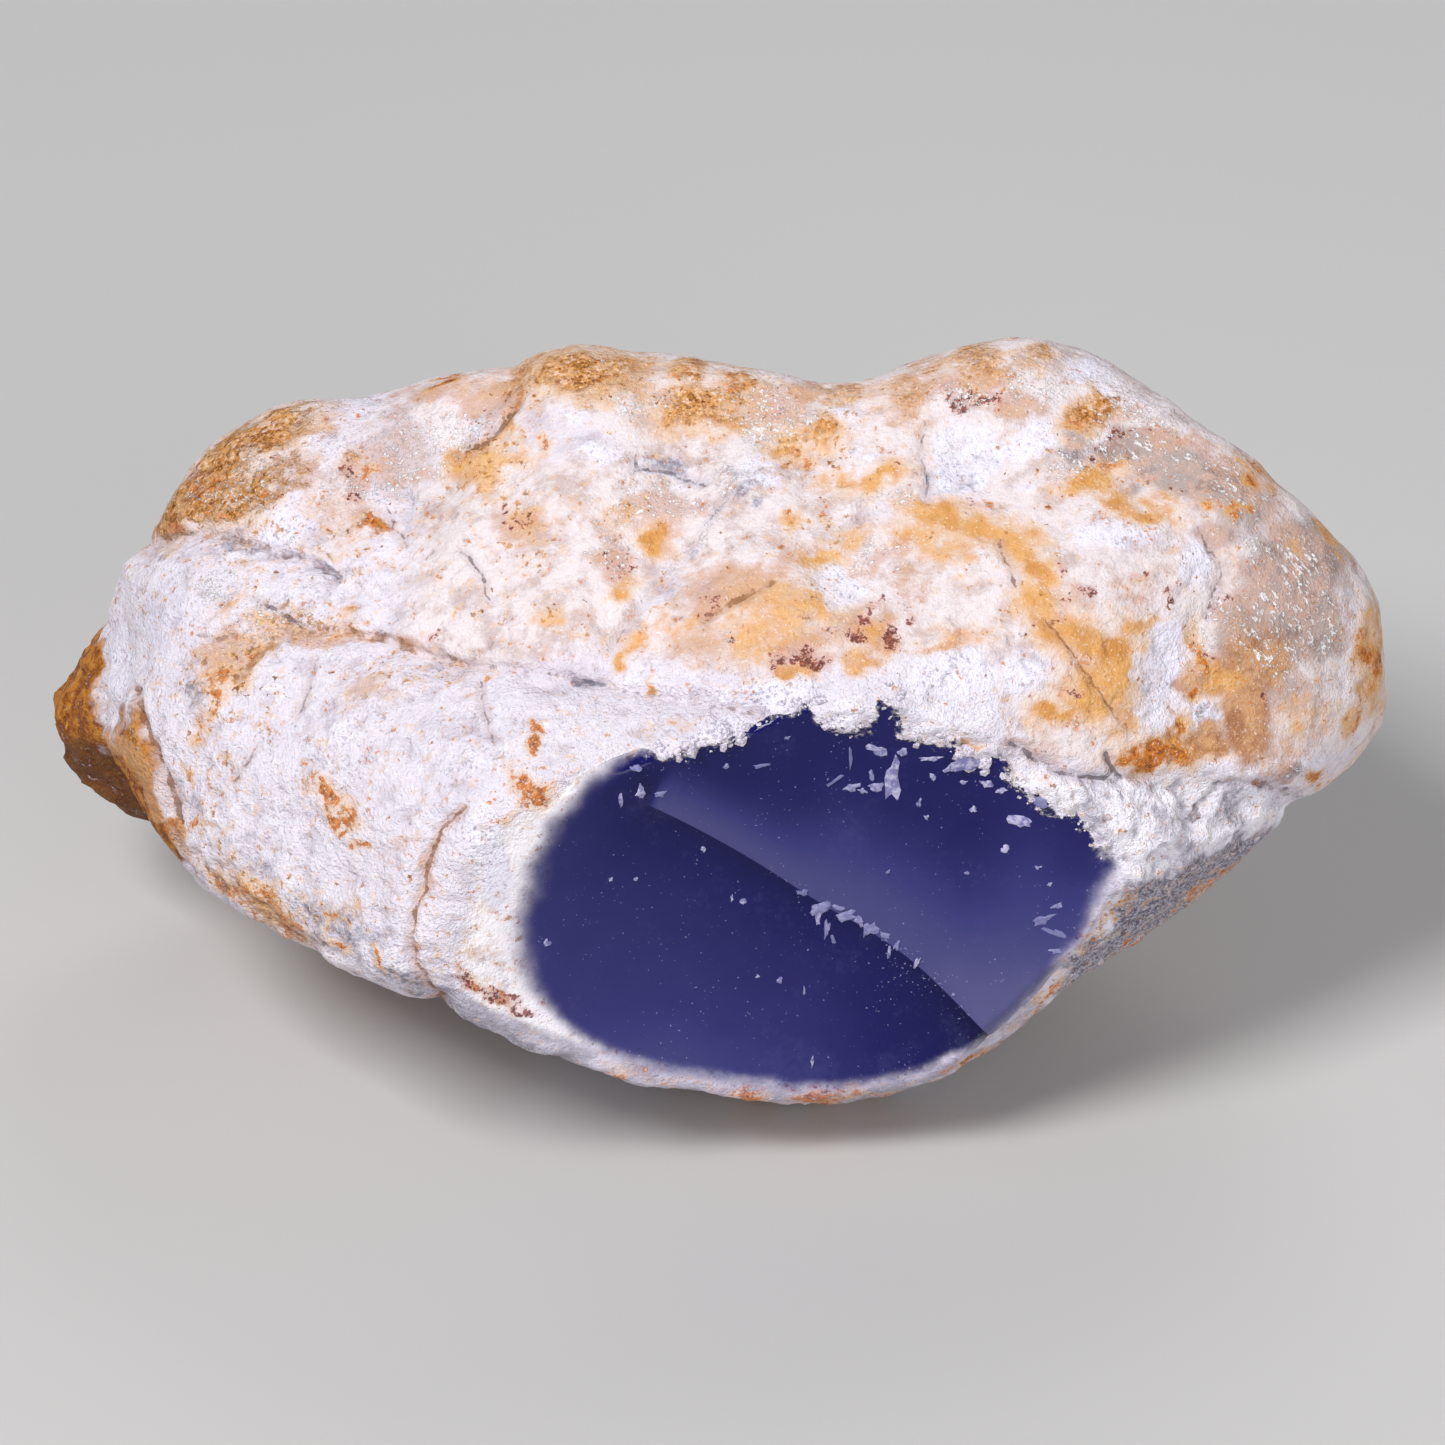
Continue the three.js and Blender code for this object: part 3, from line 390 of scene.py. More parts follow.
# Grey: granular grime, and painted shade in hollows, along cracks and on faces that turn down.
GREY_AND_SHADE = [
    (-20.6, -10.6, 3.8, 1.5, -25, 0.85),
    (24.6, -8.4, 3.0, 0.9, 34, 1), (21.6, -10.6, 2.6, 0.8, 36, 1), (19.4, -12.4, 1.6, 0.5, 38, 0.9),
    (27.0, -6.9, 1.4, 0.5, 36, 0.7), (-27.9, 1.3, 0.6, 1.0, -30, 0.8), (-23.6, 4.4, 1.6, 0.35, 12, 0.8),
    (-25.4, 9.5, 2.2, 0.45, -15, 0.95), (-30.1, 9.0, 0.4, 0.5, 0, 0.8), (-23.4, 8.9, 1.1, 0.35, -28, 0.95),
    (-21.3, 8.1, 0.9, 0.3, -25, 1), (-28.4, 7.6, 0.5, 1.6, -15, 0.4), (-17.0, 3.1, 0.5, 0.3, 0, 0.6),
    (-15.2, 2.9, 0.5, 0.3, 0, 0.7), (-10.3, 2.4, 0.5, 0.4, 0, 0.5), (-3.4, 13.7, 1.4, 0.3, -8, 1),
    (-4.6, 13.8, 0.25, 0.6, 0, 0.7), (-1.4, 13.3, 1.2, 0.4, -6, 0.5), (1.2, 12.3, 1.2, 0.5, 10, 0.9),
    (0.6, 13.2, 0.8, 0.6, 0, 0.6), (2.2, 13.6, 0.7, 0.8, 0, 0.6), (-0.6, 11.0, 0.35, 1.4, -32, 0.7),
    (-3.0, 7.6, 0.4, 1.8, -38, 0.5), (-1.6, 9.2, 0.3, 1.2, -38, 0.5), (12.8, 12.6, 1.2, 0.8, 0, 0.6),
    (13.0, 13.8, 1.8, 1.4, 20, 0.5),
    (16.1, 12.6, 0.5, 0.3, 0, 0.7), (11.6, 12.0, 0.6, 0.5, 0, 0.6), (-7.4, 17.4, 1.2, 0.2, -8, 0.6),
    (-4.4, 17.4, 0.9, 0.3, -10, 0.5), (18.8, 14.2, 0.8, 1.0, 0, 0.7), (20.0, 14.6, 0.6, 0.8, 0, 0.5),
    (16.4, 3.3, 1.6, 0.3, -8, 0.6), (14.6, 4.6, 0.8, 0.25, 0, 0.4), (23.7, 5.1, 0.7, 0.3, 0, 0.7),
    (25.7, 0.6, 0.4, 0.35, 0, 0.8), (23.5, -0.8, 0.25, 0.35, 0, 0.7), (15.4, -0.6, 0.4, 0.9, 0, 0.6),
    (27.0, -4.6, 1.8, 1.2, 38, 0.95), (-25.0, -7.2, 3.0, 1.3, -42, 0.6), (-12.0, -13.4, 1.8, 1.0, -40, 0.5),
    (22.6, -3.5, 1.2, 0.3, 0, 0.6), (30.4, -2.6, 0.9, 0.5, 0, 0.9),
    (28.2, -3.0, 1.4, 0.3, -8, 0.6), (-17.4, -13.4, 2.6, 0.7, -26, 1), (-16.6, -12.0, 0.6, 1.4, 0, 0.6),
    (-13.0, -16.0, 2.2, 0.5, -22, 0.6), (-22.8, -11.6, 2.0, 0.3, -28, 0.6),
    (-7.3, 2.1, 0.9, 0.25, -12, 0.8), (-5.0, 1.6, 0.7, 0.3, 0, 0.6), (-1.4, 0.6, 1.0, 0.25, 0, 0.6),
    (28.2, 9.9, 0.8, 0.2, 30, 0.5), (8.6, 11.2, 2.0, 0.6, 0, 0.25), (2.0, -19.9, 8.0, 0.25, 0, 0.5),
    (12.0, -19.0, 3.0, 0.3, 28, 0.4), (-20.4, 4.4, 1.4, 0.3, -10, 0.5),
]
CREAM = [
    (31.2, 0.4, 1.8, 2.6, 0, 0.7), (23.6, 7.6, 3.0, 1.8, 0, 0.6), (12.6, 6.8, 2.4, 1.8, 0, 0.5),
    (-3.0, 4.0, 2.6, 1.4, 0, 0.7), (-13.0, 17.6, 4.0, 1.0, 12, 0.8), (-18.6, 15.6, 4.0, 1.4, 10, 0.7),
    (3.0, 16.6, 1.8, 1.4, 0, 0.7), (-20.6, 11.6, 3.0, 3.4, 0, 0.9), (8.6, 17.8, 3.0, 1.2, 15, 0.7),
    (-15.0, 8.0, 2.0, 1.2, 0, 0.5), (-5.0, 10.8, 2.4, 1.6, 0, 0.8), (11.0, 15.0, 1.2, 1.6, 0, 0.7),
    (-26.5, 3.4, 2.2, 2.0, 0, 0.8), (-19.0, 2.0, 4.0, 1.2, 0, 0.5), (-13.0, -8.0, 1.4, 2.6, 0, 0.4),
    (19.0, -0.8, 2.6, 1.0, 0, 0.7), (6.0, 12.0, 3.0, 1.0, 10, 0.5), (30.4, 11.6, 2.0, 0.6, -40, 0.7),
    (-19.4, -6.8, 2.6, 1.0, 0, 0.4), (-29.0, -1.4, 1.0, 2.6, 0, 0.5),
]
GLASSY = [  # translucent brownish pink, sparkling
    (30.4, 8.0, 2.6, 3.4, -40, 1), (28.6, 4.6, 2.4, 2.8, 0, 1), (31.4, 5.6, 1.6, 3.0, 12, 0.9),
    (28.0, 0.2, 1.2, 2.6, 0, 1), (24.6, 13.4, 3.4, 1.6, -25, 1), (27.6, 12.0, 2.6, 1.2, -38, 0.9),
    (29.8, 1.6, 1.8, 1.8, 0, 0.6), (21.8, 14.6, 1.6, 1.2, 0, 0.9), (26.6, 10.2, 1.8, 0.9, 0, 0.8),
    (30.2, -2.6, 1.2, 0.6, 0, 0.7), (18.8, 14.6, 0.9, 1.4, 0, 0.7), (-17.2, 14.2, 2.4, 2.8, 20, 0.42),
    (21.8, 12.4, 1.2, 0.8, 0, 0.7),
]
PURE_WHITE = [
    (-23.2, 10.4, 1.5, 1.2, 0, 1), (-12.6, 16.1, 1.6, 0.3, 42, 1), (6.2, 7.1, 1.7, 1.0, 0, 1),
    (13.2, 14.0, 2.0, 2.0, 0, 1), (16.2, 14.8, 1.4, 1.4, 0, 0.8), (23.6, 2.6, 1.7, 3.0, 0, 1),
    (25.6, 0.4, 0.6, 0.8, 0, 0.9), (21.0, 10.0, 3.0, 0.8, 0, 0.6), (25.2, 8.6, 1.0, 1.4, 0, 0.7),
    (-6.8, 14.4, 1.6, 0.8, 0, 0.6), (-8.0, 16.4, 1.6, 0.7, 0, 0.5), (-3.4, 13.1, 1.6, 0.2, -6, 1),
    (1.8, 14.0, 1.4, 0.6, 0, 0.7), (2.0, 12.9, 1.0, 0.5, 0, 0.7), (12.4, 2.4, 2.6, 1.6, 0, 0.9),
    (16.0, 2.4, 1.4, 1.0, 0, 0.8), (0.0, -0.4, 2.2, 0.6, 12, 1), (3.4, 1.4, 2.4, 0.6, 0, 0.9),
    (6.4, 0.6, 1.2, 1.0, 0, 1), (11.6, 0.4, 2.8, 0.8, 0, 0.9), (-12.0, 6.0, 1.6, 1.2, 0, 0.4),
    (8.0, 14.0, 1.0, 0.4, 0, 0.6), (6.2, 16.6, 1.2, 0.5, 0, 0.6), (-32.2, 3.0, 0.8, 3.4, 0, 0.6),
    (21.8, -5.0, 2.0, 1.0, 0, 0.6), (20.4, 18.0, 3.0, 0.7, -35, 0.7), (-24.4, 8.0, 2.2, 1.0, -20, 0.4),
    # (-12.3, -7.4) is painted light on the crust left of the window, whitened where it turns from the
    # lamps.
    (-12.3, -7.4, 1.2, 3.6, 8, 0.8), (28.4, -4.0, 1.4, 0.6, 20, 0.7),
]
LILAC = [
    (-30.0, 5.6, 1.6, 3.0, -12, 0.8), (-17.2, 14.2, 2.8, 3.0, 20, 1), (-16.6, 11.0, 0.7, 1.8, -8, 0.9),
    (-3.4, 6.8, 1.0, 2.0, -38, 0.6), (-12.0, 1.4, 1.4, 1.8, 0, 0.6), (-22.0, -6.6, 3.4, 2.0, 0, 0.5),
    (-19.6, -10.8, 3.0, 1.2, -20, 0.7), (9.4, 11.4, 2.4, 0.7, 0, 0.7), (22.4, 17.4, 4.0, 0.6, -38, 0.7),
    (-8.0, 15.2, 3.0, 1.6, 0, 0.9), (0.4, 4.6, 2.2, 1.2, 0, 0.5), (-23.0, 1.0, 0.8, 2.0, 0, 0.5),
    (-3.0, 18.2, 1.6, 0.8, 0, 0.6), (33.4, 5.6, 0.7, 2.4, 8, 0.8),
    (31.6, -1.4, 1.2, 1.6, 40, 0.6), (-14.6, -5.0, 1.4, 1.0, -40, 0.5), (-18.4, 8.4, 2.0, 0.8, 0, 0.5),
]
TAN = [  # broad brownish peach
    (-3.4, 11.4, 2.2, 1.2, 0, 0.8), (-3.0, 10.4, 1.0, 1.6, 0, 0.6), (-5.8, 8.4, 1.4, 0.8, 0, 0.8),
    (-10.8, 10.6, 1.5, 1.0, 0, 0.8), (1.6, 7.0, 2.4, 0.6, 32, 0.9), (4.4, 3.8, 2.4, 1.0, 0, 0.7),
    (7.6, 5.0, 2.0, 1.4, 20, 0.7), (10.0, 7.0, 1.2, 1.6, 0, 0.6), (3.4, 8.6, 2.6, 0.6, 25, 0.6),
    (8.6, 8.8, 2.0, 0.6, 15, 0.6), (2.6, 16.8, 1.6, 1.2, 0, 0.9), (4.2, 17.6, 1.4, 0.6, 0, 0.7),
    (-4.6, 18.3, 1.2, 0.8, 0, 0.9), (-3.4, 17.4, 1.0, 0.4, 0, 0.5), (12.0, 18.0, 3.0, 0.8, 10, 0.7),
    (14.4, 18.4, 1.6, 0.8, 0, 0.7), (9.6, 16.4, 1.0, 1.0, 0, 0.5), (-19.5, 13.0, 1.0, 1.2, 20, 0.7),
    (-18.6, 10.8, 1.6, 0.8, -10, 0.5), (-13.4, 13.6, 1.6, 0.8, 30, 0.8), (-12.4, 17.3, 2.2, 1.0, 22, 1),
    (-0.4, 6.8, 2.0, 1.2, 25, 1), (-28.0, 12.6, 3.4, 1.4, 45, 0.6),
    (-15.6, 17.6, 2.4, 0.5, 14, 0.6), (-22.0, 15.6, 1.6, 0.5, 10, 0.6), (-22.4, 13.2, 1.2, 1.2, 0, 0.6),
    (23.2, 15.2, 1.6, 0.6, -20, 0.7), (20.6, 16.4, 1.6, 0.8, -10, 0.5), (26.0, 14.4, 2.0, 0.6, -38, 0.7),
    (22.4, 6.8, 2.4, 1.0, 0, 0.4), (-26.6, 3.6, 1.7, 1.2, 50, 0.8), (-22.0, 4.7, 2.6, 0.4, -4, 0.7),
    (-18.6, 1.8, 1.8, 0.8, 0, 0.5), (-16.6, 4.0, 0.8, 0.5, 0, 0.7), (-12.6, -12.2, 1.4, 0.8, 0, 0.4),
    (-15.6, -7.4, 0.4, 1.8, -8, 0.6), (-17.4, -6.6, 1.4, 0.5, 0, 0.4), (29.8, -1.6, 1.4, 1.0, 40, 0.5),
    (32.6, 6.6, 0.6, 2.6, 10, 0.4), (28.6, 12.8, 1.2, 0.8, -40, 0.7), (16.6, -1.4, 2.6, 0.7, -20, 0.5),
    (-28.0, -0.4, 0.6, 1.6, -10, 0.4), (15.6, 17.2, 1.4, 0.9, 0, 0.9), (-1.2, 4.4, 1.6, 1.0, 10, 0.6),
    (-20.6, 11.0, 1.4, 1.4, 0, 0.35), (-17.6, 14.2, 2.6, 2.2, 20, 0.45),
]
AMBER = [  # translucent yellowish brown
    (27.8, 0.6, 1.3, 3.2, 0, 1), (26.8, 2.6, 1.6, 1.2, 0, 0.95), (26.0, -1.0, 1.6, 0.9, 0, 0.9),
    (28.6, 3.8, 1.0, 1.0, 0, 0.5), (25.0, 2.4, 0.6, 1.4, 0, 0.7), (31.0, 0.2, 1.0, 1.0, 0, 0.35),
    (28.6, 3.4, 2.2, 1.8, 0, 0.8), (27.4, 5.4, 1.4, 1.2, 0, 0.4),
    (33.8, 1.4, 0.4, 1.6, -10, 0.4), (-31.2, -2.4, 0.8, 2.6, 18, 0.8), (-29.0, -6.2, 0.5, 1.6, 30, 0.6),
    (24.0, -1.2, 1.6, 0.8, 0, 0.6),
]
FLECKED = [  # peppered with small orange brown flecks
    (-26.5, 2.6, 3.0, 2.8, 30, 1), (-27.6, -3.0, 1.8, 4.0, 10, 0.8), (-22.6, 5.6, 5.0, 1.4, -5, 0.9),
    (-24.0, 7.8, 2.6, 1.2, 0, 0.8), (-18.0, 9.4, 4.0, 2.0, 0, 0.6), (-11.4, 9.6, 2.6, 3.0, 0, 0.7),
    (-26.0, 12.6, 4.0, 3.0, 30, 1), (-12.6, 13.6, 3.0, 2.6, 0, 1), (-4.6, 11.4, 3.0, 2.0, 0, 0.7),
    (-7.0, 18.0, 6.0, 1.6, 0, 0.8), (0.6, 17.0, 4.0, 1.8, 0, 1), (5.0, 14.8, 4.0, 2.4, 0, 0.9),
    (4.6, 9.6, 3.6, 1.6, 0, 0.5), (13.0, 18.2, 4.0, 1.8, 0, 0.8), (20.4, 14.6, 3.4, 3.0, 0, 0.7),
    (24.0, 8.0, 2.6, 3.0, 0, 0.4), (-20.6, -4.2, 2.4, 2.4, 0, 0.5), (-23.6, -9.2, 4.0, 1.6, -35, 1),
    (-16.0, -9.0, 1.0, 4.0, 5, 0.5), (-17.6, 2.4, 3.0, 1.4, 0, 0.6), (-12.0, -13.4, 3.0, 1.4, -40, 0.7),
    (-28.0, -6.6, 2.0, 1.0, -50, 0.8), (33.0, 4.0, 1.2, 3.6, 10, 0.8), (20.0, -11.0, 4.0, 0.8, 35, 0.8),
    (-9.0, 6.0, 2.6, 1.4, 0, 0.5),
]
SUGARY = [  # white sugary grains, where the painted glints cluster
    (2.6, 16.2, 2.0, 1.6, 0, 0.9), (-4.4, 17.0, 1.2, 0.6, 0, 0.8), (-3.6, 11.6, 2.6, 1.0, 0, 0.7),
    (-6.0, 8.8, 1.4, 0.8, 0, 0.6), (-19.2, 12.6, 1.4, 0.7, 0, 1), (-14.4, 15.4, 1.6, 1.2, 30, 0.8),
    (16.6, 17.8, 1.6, 0.8, 0, 0.9), (20.2, 15.2, 0.8, 1.4, 0, 1), (18.6, 13.8, 1.0, 0.8, 0, 1),
    (22.0, 14.4, 2.0, 1.2, 0, 0.8), (25.4, 14.0, 2.0, 0.8, -30, 0.9), (28.8, 9.3, 1.2, 0.7, 0, 1),
    (30.8, 8.6, 1.0, 1.6, 0, 0.8), (31.8, 7.4, 0.9, 1.6, 15, 1), (29.2, 6.2, 1.6, 1.2, 0, 1),
    (32.4, 6.0, 0.8, 1.6, 0, 0.8), (26.8, 5.8, 0.9, 1.2, 0, 0.9), (32.0, 3.6, 0.7, 1.4, 0, 0.8),
    (28.6, 11.6, 0.8, 0.6, 0, 1), (31.0, 10.4, 1.0, 0.3, -40, 1), (30.6, -2.6, 1.0, 0.5, 0, 0.9),
    (25.8, 4.4, 0.7, 1.0, 0, 0.9), (8.4, 9.2, 2.0, 0.6, 15, 0.7), (9.4, 12.0, 1.6, 0.4, 0, 0.7),
    (0.6, 13.0, 1.2, 0.6, 0, 0.8), (-0.6, 10.6, 0.4, 1.6, -30, 0.8), (-17.4, 16.0, 1.4, 0.8, 20, 0.4),
    (-27.0, 12.0, 1.8, 1.0, 30, 0.5), (-24.0, 5.4, 2.4, 0.8, 0, 0.6), (-27.0, 7.0, 1.6, 0.8, 20, 0.5),
    (12.8, 17.4, 1.6, 0.8, 10, 0.6), (22.4, 16.6, 2.2, 1.0, -20, 0.9), (30.4, 5.6, 2.0, 3.4, -10, 0.7),
    (27.0, 13.0, 2.0, 1.0, -40, 0.8), (-16.6, 14.0, 2.0, 2.2, 10, 0.7), (-25.6, 12.6, 2.6, 1.4, 30, 0.5),
]
MARKS = {
    "sugary": SUGARY,
    "flecked": FLECKED,
    "tan": TAN, "amber": AMBER,
    "ochre": OCHRE, "deep_orange": DEEP_ORANGE, "crimson": CRIMSON, "grey": GREY_AND_SHADE, "cream": CREAM,
    "glassy": GLASSY, "pure_white": PURE_WHITE, "lilac": LILAC,
}
WASH_SPREAD = 1.7
GROOVE_LEAST, CRACK_REACH = 0.25, 0.8
MARK_WANDER = 0.5  # how far a mark's edge strays

# Where the knob's stain ends against the white crust, where its painted shade lies, and the knob's own
# crags.
KNOB_STAIN = [
    (-40, 8), (-33.5, 6.5), (-33.2, 3), (-33.1, -0.4), (-32.4, -0.7), (-31.9, -0.1), (-31.5, 1.5),
    (-31.0, -0.4), (-30.4, -2.2), (-29.8, -3.8), (-29.4, -5.6), (-29.2, -7.2), (-40, -12),
]
KNOB_SHADE = [(-34.4, -2.0), (-33.2, -2.4), (-32.0, -3.4), (-31.0, -4.2), (-30.2, -5.0)]
KNOB_BLADE = [(-32.3, -1.1), (-31.5, -1.6), (-30.7, -3.0), (-30.0, -4.9)]
KNOB_CRAGS = [(3.6, 1.5, 111), (2.3, 1.5, 119), (1.4, 0.6, 113), (0.7, 0.25, 117)]

# The granular facet under the right end, grey with painted shade, and the broken white zone above it.
SHADED_FACET = [
    (17.9, -13.9), (19.0, -12.4), (20.2, -11.2), (21.2, -9.9), (22.0, -8.8), (23.6, -8.1), (25.0, -7.8),
    (26.4, -6.9), (28.0, -5.9), (31.0, -4.9), (34.0, -4.0), (34.0, -9.0), (24.0, -14.0), (18.0, -18.0),
]
BROKEN_ZONE = [
    (15.2, -2.4), (17.0, -3.0), (20.4, -3.0), (24.0, -3.0), (27.0, -3.3), (30.4, -4.4), (28.4, -5.9),
    (25.4, -7.4), (22.4, -8.2), (21.2, -9.4), (20.4, -10.8), (20.6, -8.0), (19.4, -5.8), (17.4, -4.6),
    (15.6, -3.4),
]
BROKEN_LUMPS = [(1.7, 0.75, 121), (0.8, 0.35, 123), (0.45, 0.14, 127)]

# The window: the edge of its dark glassy core, and the arc where the two flakes meet.
CORE_EDGE = [
    (-10.5, -12.5), (-10.5, -10.7), (-10.1, -9.0), (-9.5, -7.0), (-8.5, -5.2), (-7.1, -3.6), (-5.6, -2.3),
    (-4.3, -1.3), (-3.4, -1.9), (-2.4, -1.8), (-1.0, -1.5), (0.3, -1.1), (1.2, -0.6), (1.8, 0.0),
    (3.3, 0.3), (4.0, 0.5), (4.5, 1.2), (4.9, 0.1), (5.6, -0.3), (6.8, -0.6), (7.8, -0.3), (8.4, 1.1),
    (9.0, 0.7), (9.3, -0.7), (10.4, -1.1), (12.0, -1.2), (12.6, -2.2), (13.5, -2.5), (14.3, -1.7),
    (15.2, -1.9), (15.0, -2.8), (16.0, -3.8), (16.8, -4.5), (17.8, -5.0), (18.9, -5.4), (19.4, -6.3),
    (20.0, -7.0), (20.8, -7.6), (20.1, -8.6), (19.7, -9.9), (19.1, -11.0), (18.3, -12.3), (17.3, -13.7),
    (16.2, -14.8), (15.1, -15.8), (14.3, -16.6), (13.3, -17.2), (11.3, -18.1), (9.3, -18.8), (6.2, -19.3),
    (3.9, -19.3), (1.0, -19.0), (-1.9, -18.6), (-4.8, -17.9), (-7.1, -16.9), (-8.8, -15.6), (-10.0, -14.2),
]
RIDGE = [
    (-4.0, -3.4), (-3.6, -4.7), (-2.7, -5.0), (-1.5, -5.5), (0.1, -6.3), (2.0, -7.5), (3.9, -8.6),
    (7.4, -10.5), (9.0, -11.6), (10.4, -12.8), (11.8, -14.0), (12.9, -15.3), (13.9, -16.6), (15, -18),
]
LEFT_END = (-3.8, -3.6)  # the upper right flake begins here
NEVER_MET = 60.0  # taken for a hollow that a direction never meets, beyond all of the stone
RIDGE_SLOPE = 0.166  # how fast the two flakes part from each other, per millimetre from the ridge
RIDGE_LIFT = 0.15  # how much less deep the upper right flake is towards its lower end
SOFT_EDGE, CRISP_EDGE = 1.15, 0.16  # half width of the core's milky edge, and of its edge under the crust
RIM_ROUNDING = 1.8  # how far off the soft rim of the hollow begins to round over
EDGE_ROUNDS = 2  # times that the grid is pulled on to the ridge and rims

# Pits: size across, pattern number, depth, and the noise where a pit begins and is full.
PITS = [(1.1, 91, 0.22, 0.2, 0.42), (0.6, 93, 0.14, 0.18, 0.4)]
RELIEF_FULL = 0.12  # height of fine relief that the relief mark takes as 1
CRACK_WOBBLE, WOBBLE_SIZE = 0.2, 0.8  # how far a crack strays from its points, and over what length

# The thin rim under the window, seen edge on: points of its line, half width.
THIN_RIM = [
    (-15, -14.8), (-12, -16.4), (-8, -17.9), (-4, -19.1), (0, -19.8), (4, -20.3), (8, -20.2), (12, -19.0),
    (14.6, -17.4), (16.6, -15.6),
]
THIN_RIM_HALF = 0.9
CHIPS = [
    (4.3, -9.0, 0.4, 0.2, 0, 0.4), (5.2, -9.9, 0.5, 0.25, 20, 0.5), (5.6, -11.0, 0.2, 0.7, -5, 0.6),
    (6.6, -10.3, 0.5, 0.3, 10, 0.6), (7.9, -11.0, 0.35, 0.4, 0, 0.5), (8.9, -12.2, 0.1, 0.5, 0, 0.8),
    (5.1, -10.4, 0.15, 0.4, 0, 0.9), (10.4, -12.9, 0.12, 0.3, -20, 0.7), (9.05, -3.0, 0.5, 1.2, -4, 1),
    (8.2, -1.4, 0.5, 0.3, -20, 0.8), (10.9, -1.9, 0.8, 0.22, -5, 0.95), (13.2, -2.2, 1.0, 0.5, 0, 1),
    (6.8, -3.4, 0.4, 0.25, 0, 0.7), (8.1, -3.4, 0.4, 0.25, 10, 0.7), (5.9, -3.1, 0.6, 0.1, 30, 0.4),
    (6.8, -1.9, 0.1, 1.0, 0, 0.4), (10.4, -4.3, 0.15, 0.4, -15, 0.5), (13.3, -4.6, 0.2, 0.2, 0, 0.9),
    (10.8, -5.0, 0.14, 0.14, 0, 0.7), (15.9, -5.3, 0.55, 0.3, -12, 1), (15.0, -6.7, 0.2, 0.3, 0, 1),
    (16.8, -7.7, 0.16, 0.1, 0, 0.7), (17.1, -10.5, 0.6, 0.3, 25, 0.4), (18.0, -11.3, 0.8, 0.2, -25, 0.4),
    (17.9, -12.2, 0.5, 0.2, 0, 0.6), (17.8, -9.8, 0.35, 0.14, 30, 0.7), (-4.4, -3.7, 0.25, 0.45, -20, 0.9),
    (-5.4, -4.2, 0.1, 0.45, 0, 0.7), (-4.6, -2.4, 0.3, 0.2, 0, 0.6), (-3.3, -3.8, 0.3, 0.2, 0, 0.5),
    (-9.3, -11.7, 0.16, 0.24, 20, 0.9), (0.5, -9.3, 0.1, 0.25, 0, 0.9), (1.1, -9.5, 0.16, 0.2, 0, 1),
    (-5.9, -8.3, 0.12, 0.12, 0, 0.8), (-4.6, -8.3, 0.12, 0.14, 0, 0.8), (-1.0, -6.7, 0.1, 0.22, 0, 0.8),
    (3.1, -13.8, 0.16, 0.22, 0, 0.7), (1.9, -13.6, 0.12, 0.12, 0, 0.7), (4.9, -18.5, 0.1, 0.4, 0, 0.8),
    (0.2, -2.3, 0.2, 0.14, 0, 0.6), (2.0, -2.3, 0.5, 0.16, 0, 0.4), (3.4, -0.8, 0.2, 0.14, 0, 0.5),
    (13.0, -8.0, 0.12, 0.12, 0, 0.5), (8.8, -7.9, 0.12, 0.1, 0, 0.5), (17.4, -8.6, 0.14, 0.12, 0, 0.7),
    (17.1, -4.2, 0.5, 0.3, 0, 0.5), (12.4, -14.6, 0.1, 0.1, 0, 0.6), (4.4, -14.4, 0.08, 0.3, 0, 0.6),
    (5.0, -10.0, 0.3, 0.35, 20, 0.6), (6.2, -9.9, 0.45, 0.2, -15, 0.5), (7.3, -10.6, 0.35, 0.25, -30, 0.6),
    (7.6, -11.2, 0.12, 0.35, 0, 0.5), (8.6, -11.3, 0.4, 0.15, -35, 0.5), (5.9, -11.6, 0.12, 0.3, 10, 0.4),
    (9.3, -11.9, 0.15, 0.3, -20, 0.5), (11.2, -2.9, 0.3, 0.2, 0, 0.8), (12.1, -2.4, 0.35, 0.25, 20, 0.9),
    (12.8, -3.2, 0.25, 0.2, 0, 0.8), (14.0, -3.2, 0.4, 0.25, -20, 0.9), (14.8, -3.6, 0.3, 0.2, 0, 0.8),
    (7.4, -3.6, 0.3, 0.15, -30, 0.6), (7.9, -2.8, 0.12, 0.3, 0, 0.5), (9.6, -1.6, 0.3, 0.2, 10, 0.7),
]


def inside_outline(x, y, outline):
    """True where a ray towards +x crosses a closed outline an odd number of times."""
    odd = np.zeros(x.shape, bool)
    for (x0, y0), (x1, y1) in zip(outline, outline[1:] + outline[:1]):
        if y0 != y1:
            crosses = (y0 > y) != (y1 > y)
            odd ^= crosses & (x < (x1 - x0) * (y - y0) / (y1 - y0) + x0)
    return odd


def depth_inside(x, y, outline):
    """Distance to a closed outline, less than 0 outside it."""
    distance, _, _ = line_distance(x, y, outline + outline[:1])
    return np.where(inside_outline(x, y, outline), distance, -distance)


MARK_REACH = 2.2  # in half sizes, how far out a mark is worked out


def marks(x, y, places, spread=1.0):
    """The strongest mark: strength * exp(-(a^2 + b^2)^1.5), a and b being parts of its half sizes."""
    found = np.zeros(x.shape)
    for cx, cy, length, width, turn, strength in places:
        cos, sin = math.cos(math.radians(turn)), math.sin(math.radians(turn))
        length, width = length * spread, width * spread
        reach = MARK_REACH * max(length, width)
        near = (np.abs(x - cx) < reach) & (np.abs(y - cy) < reach)
        dx, dy = x[near] - cx, y[near] - cy
        a = (dx * cos + dy * sin) / length
        b = (dy * cos - dx * sin) / width
        found[near] = np.maximum(found[near], strength * np.exp(-((a * a + b * b) ** 1.5)))
    return found


def grid_sides():
    """The six sides of the cube: its middle, and the ways that u and v turn from it."""
    for axis in range(3):
        for sign in (1, -1):
            middle = np.eye(3)[axis] * sign
            first = np.eye(3)[(axis + 1) % 3]
            yield middle, first, np.cross(middle, first)


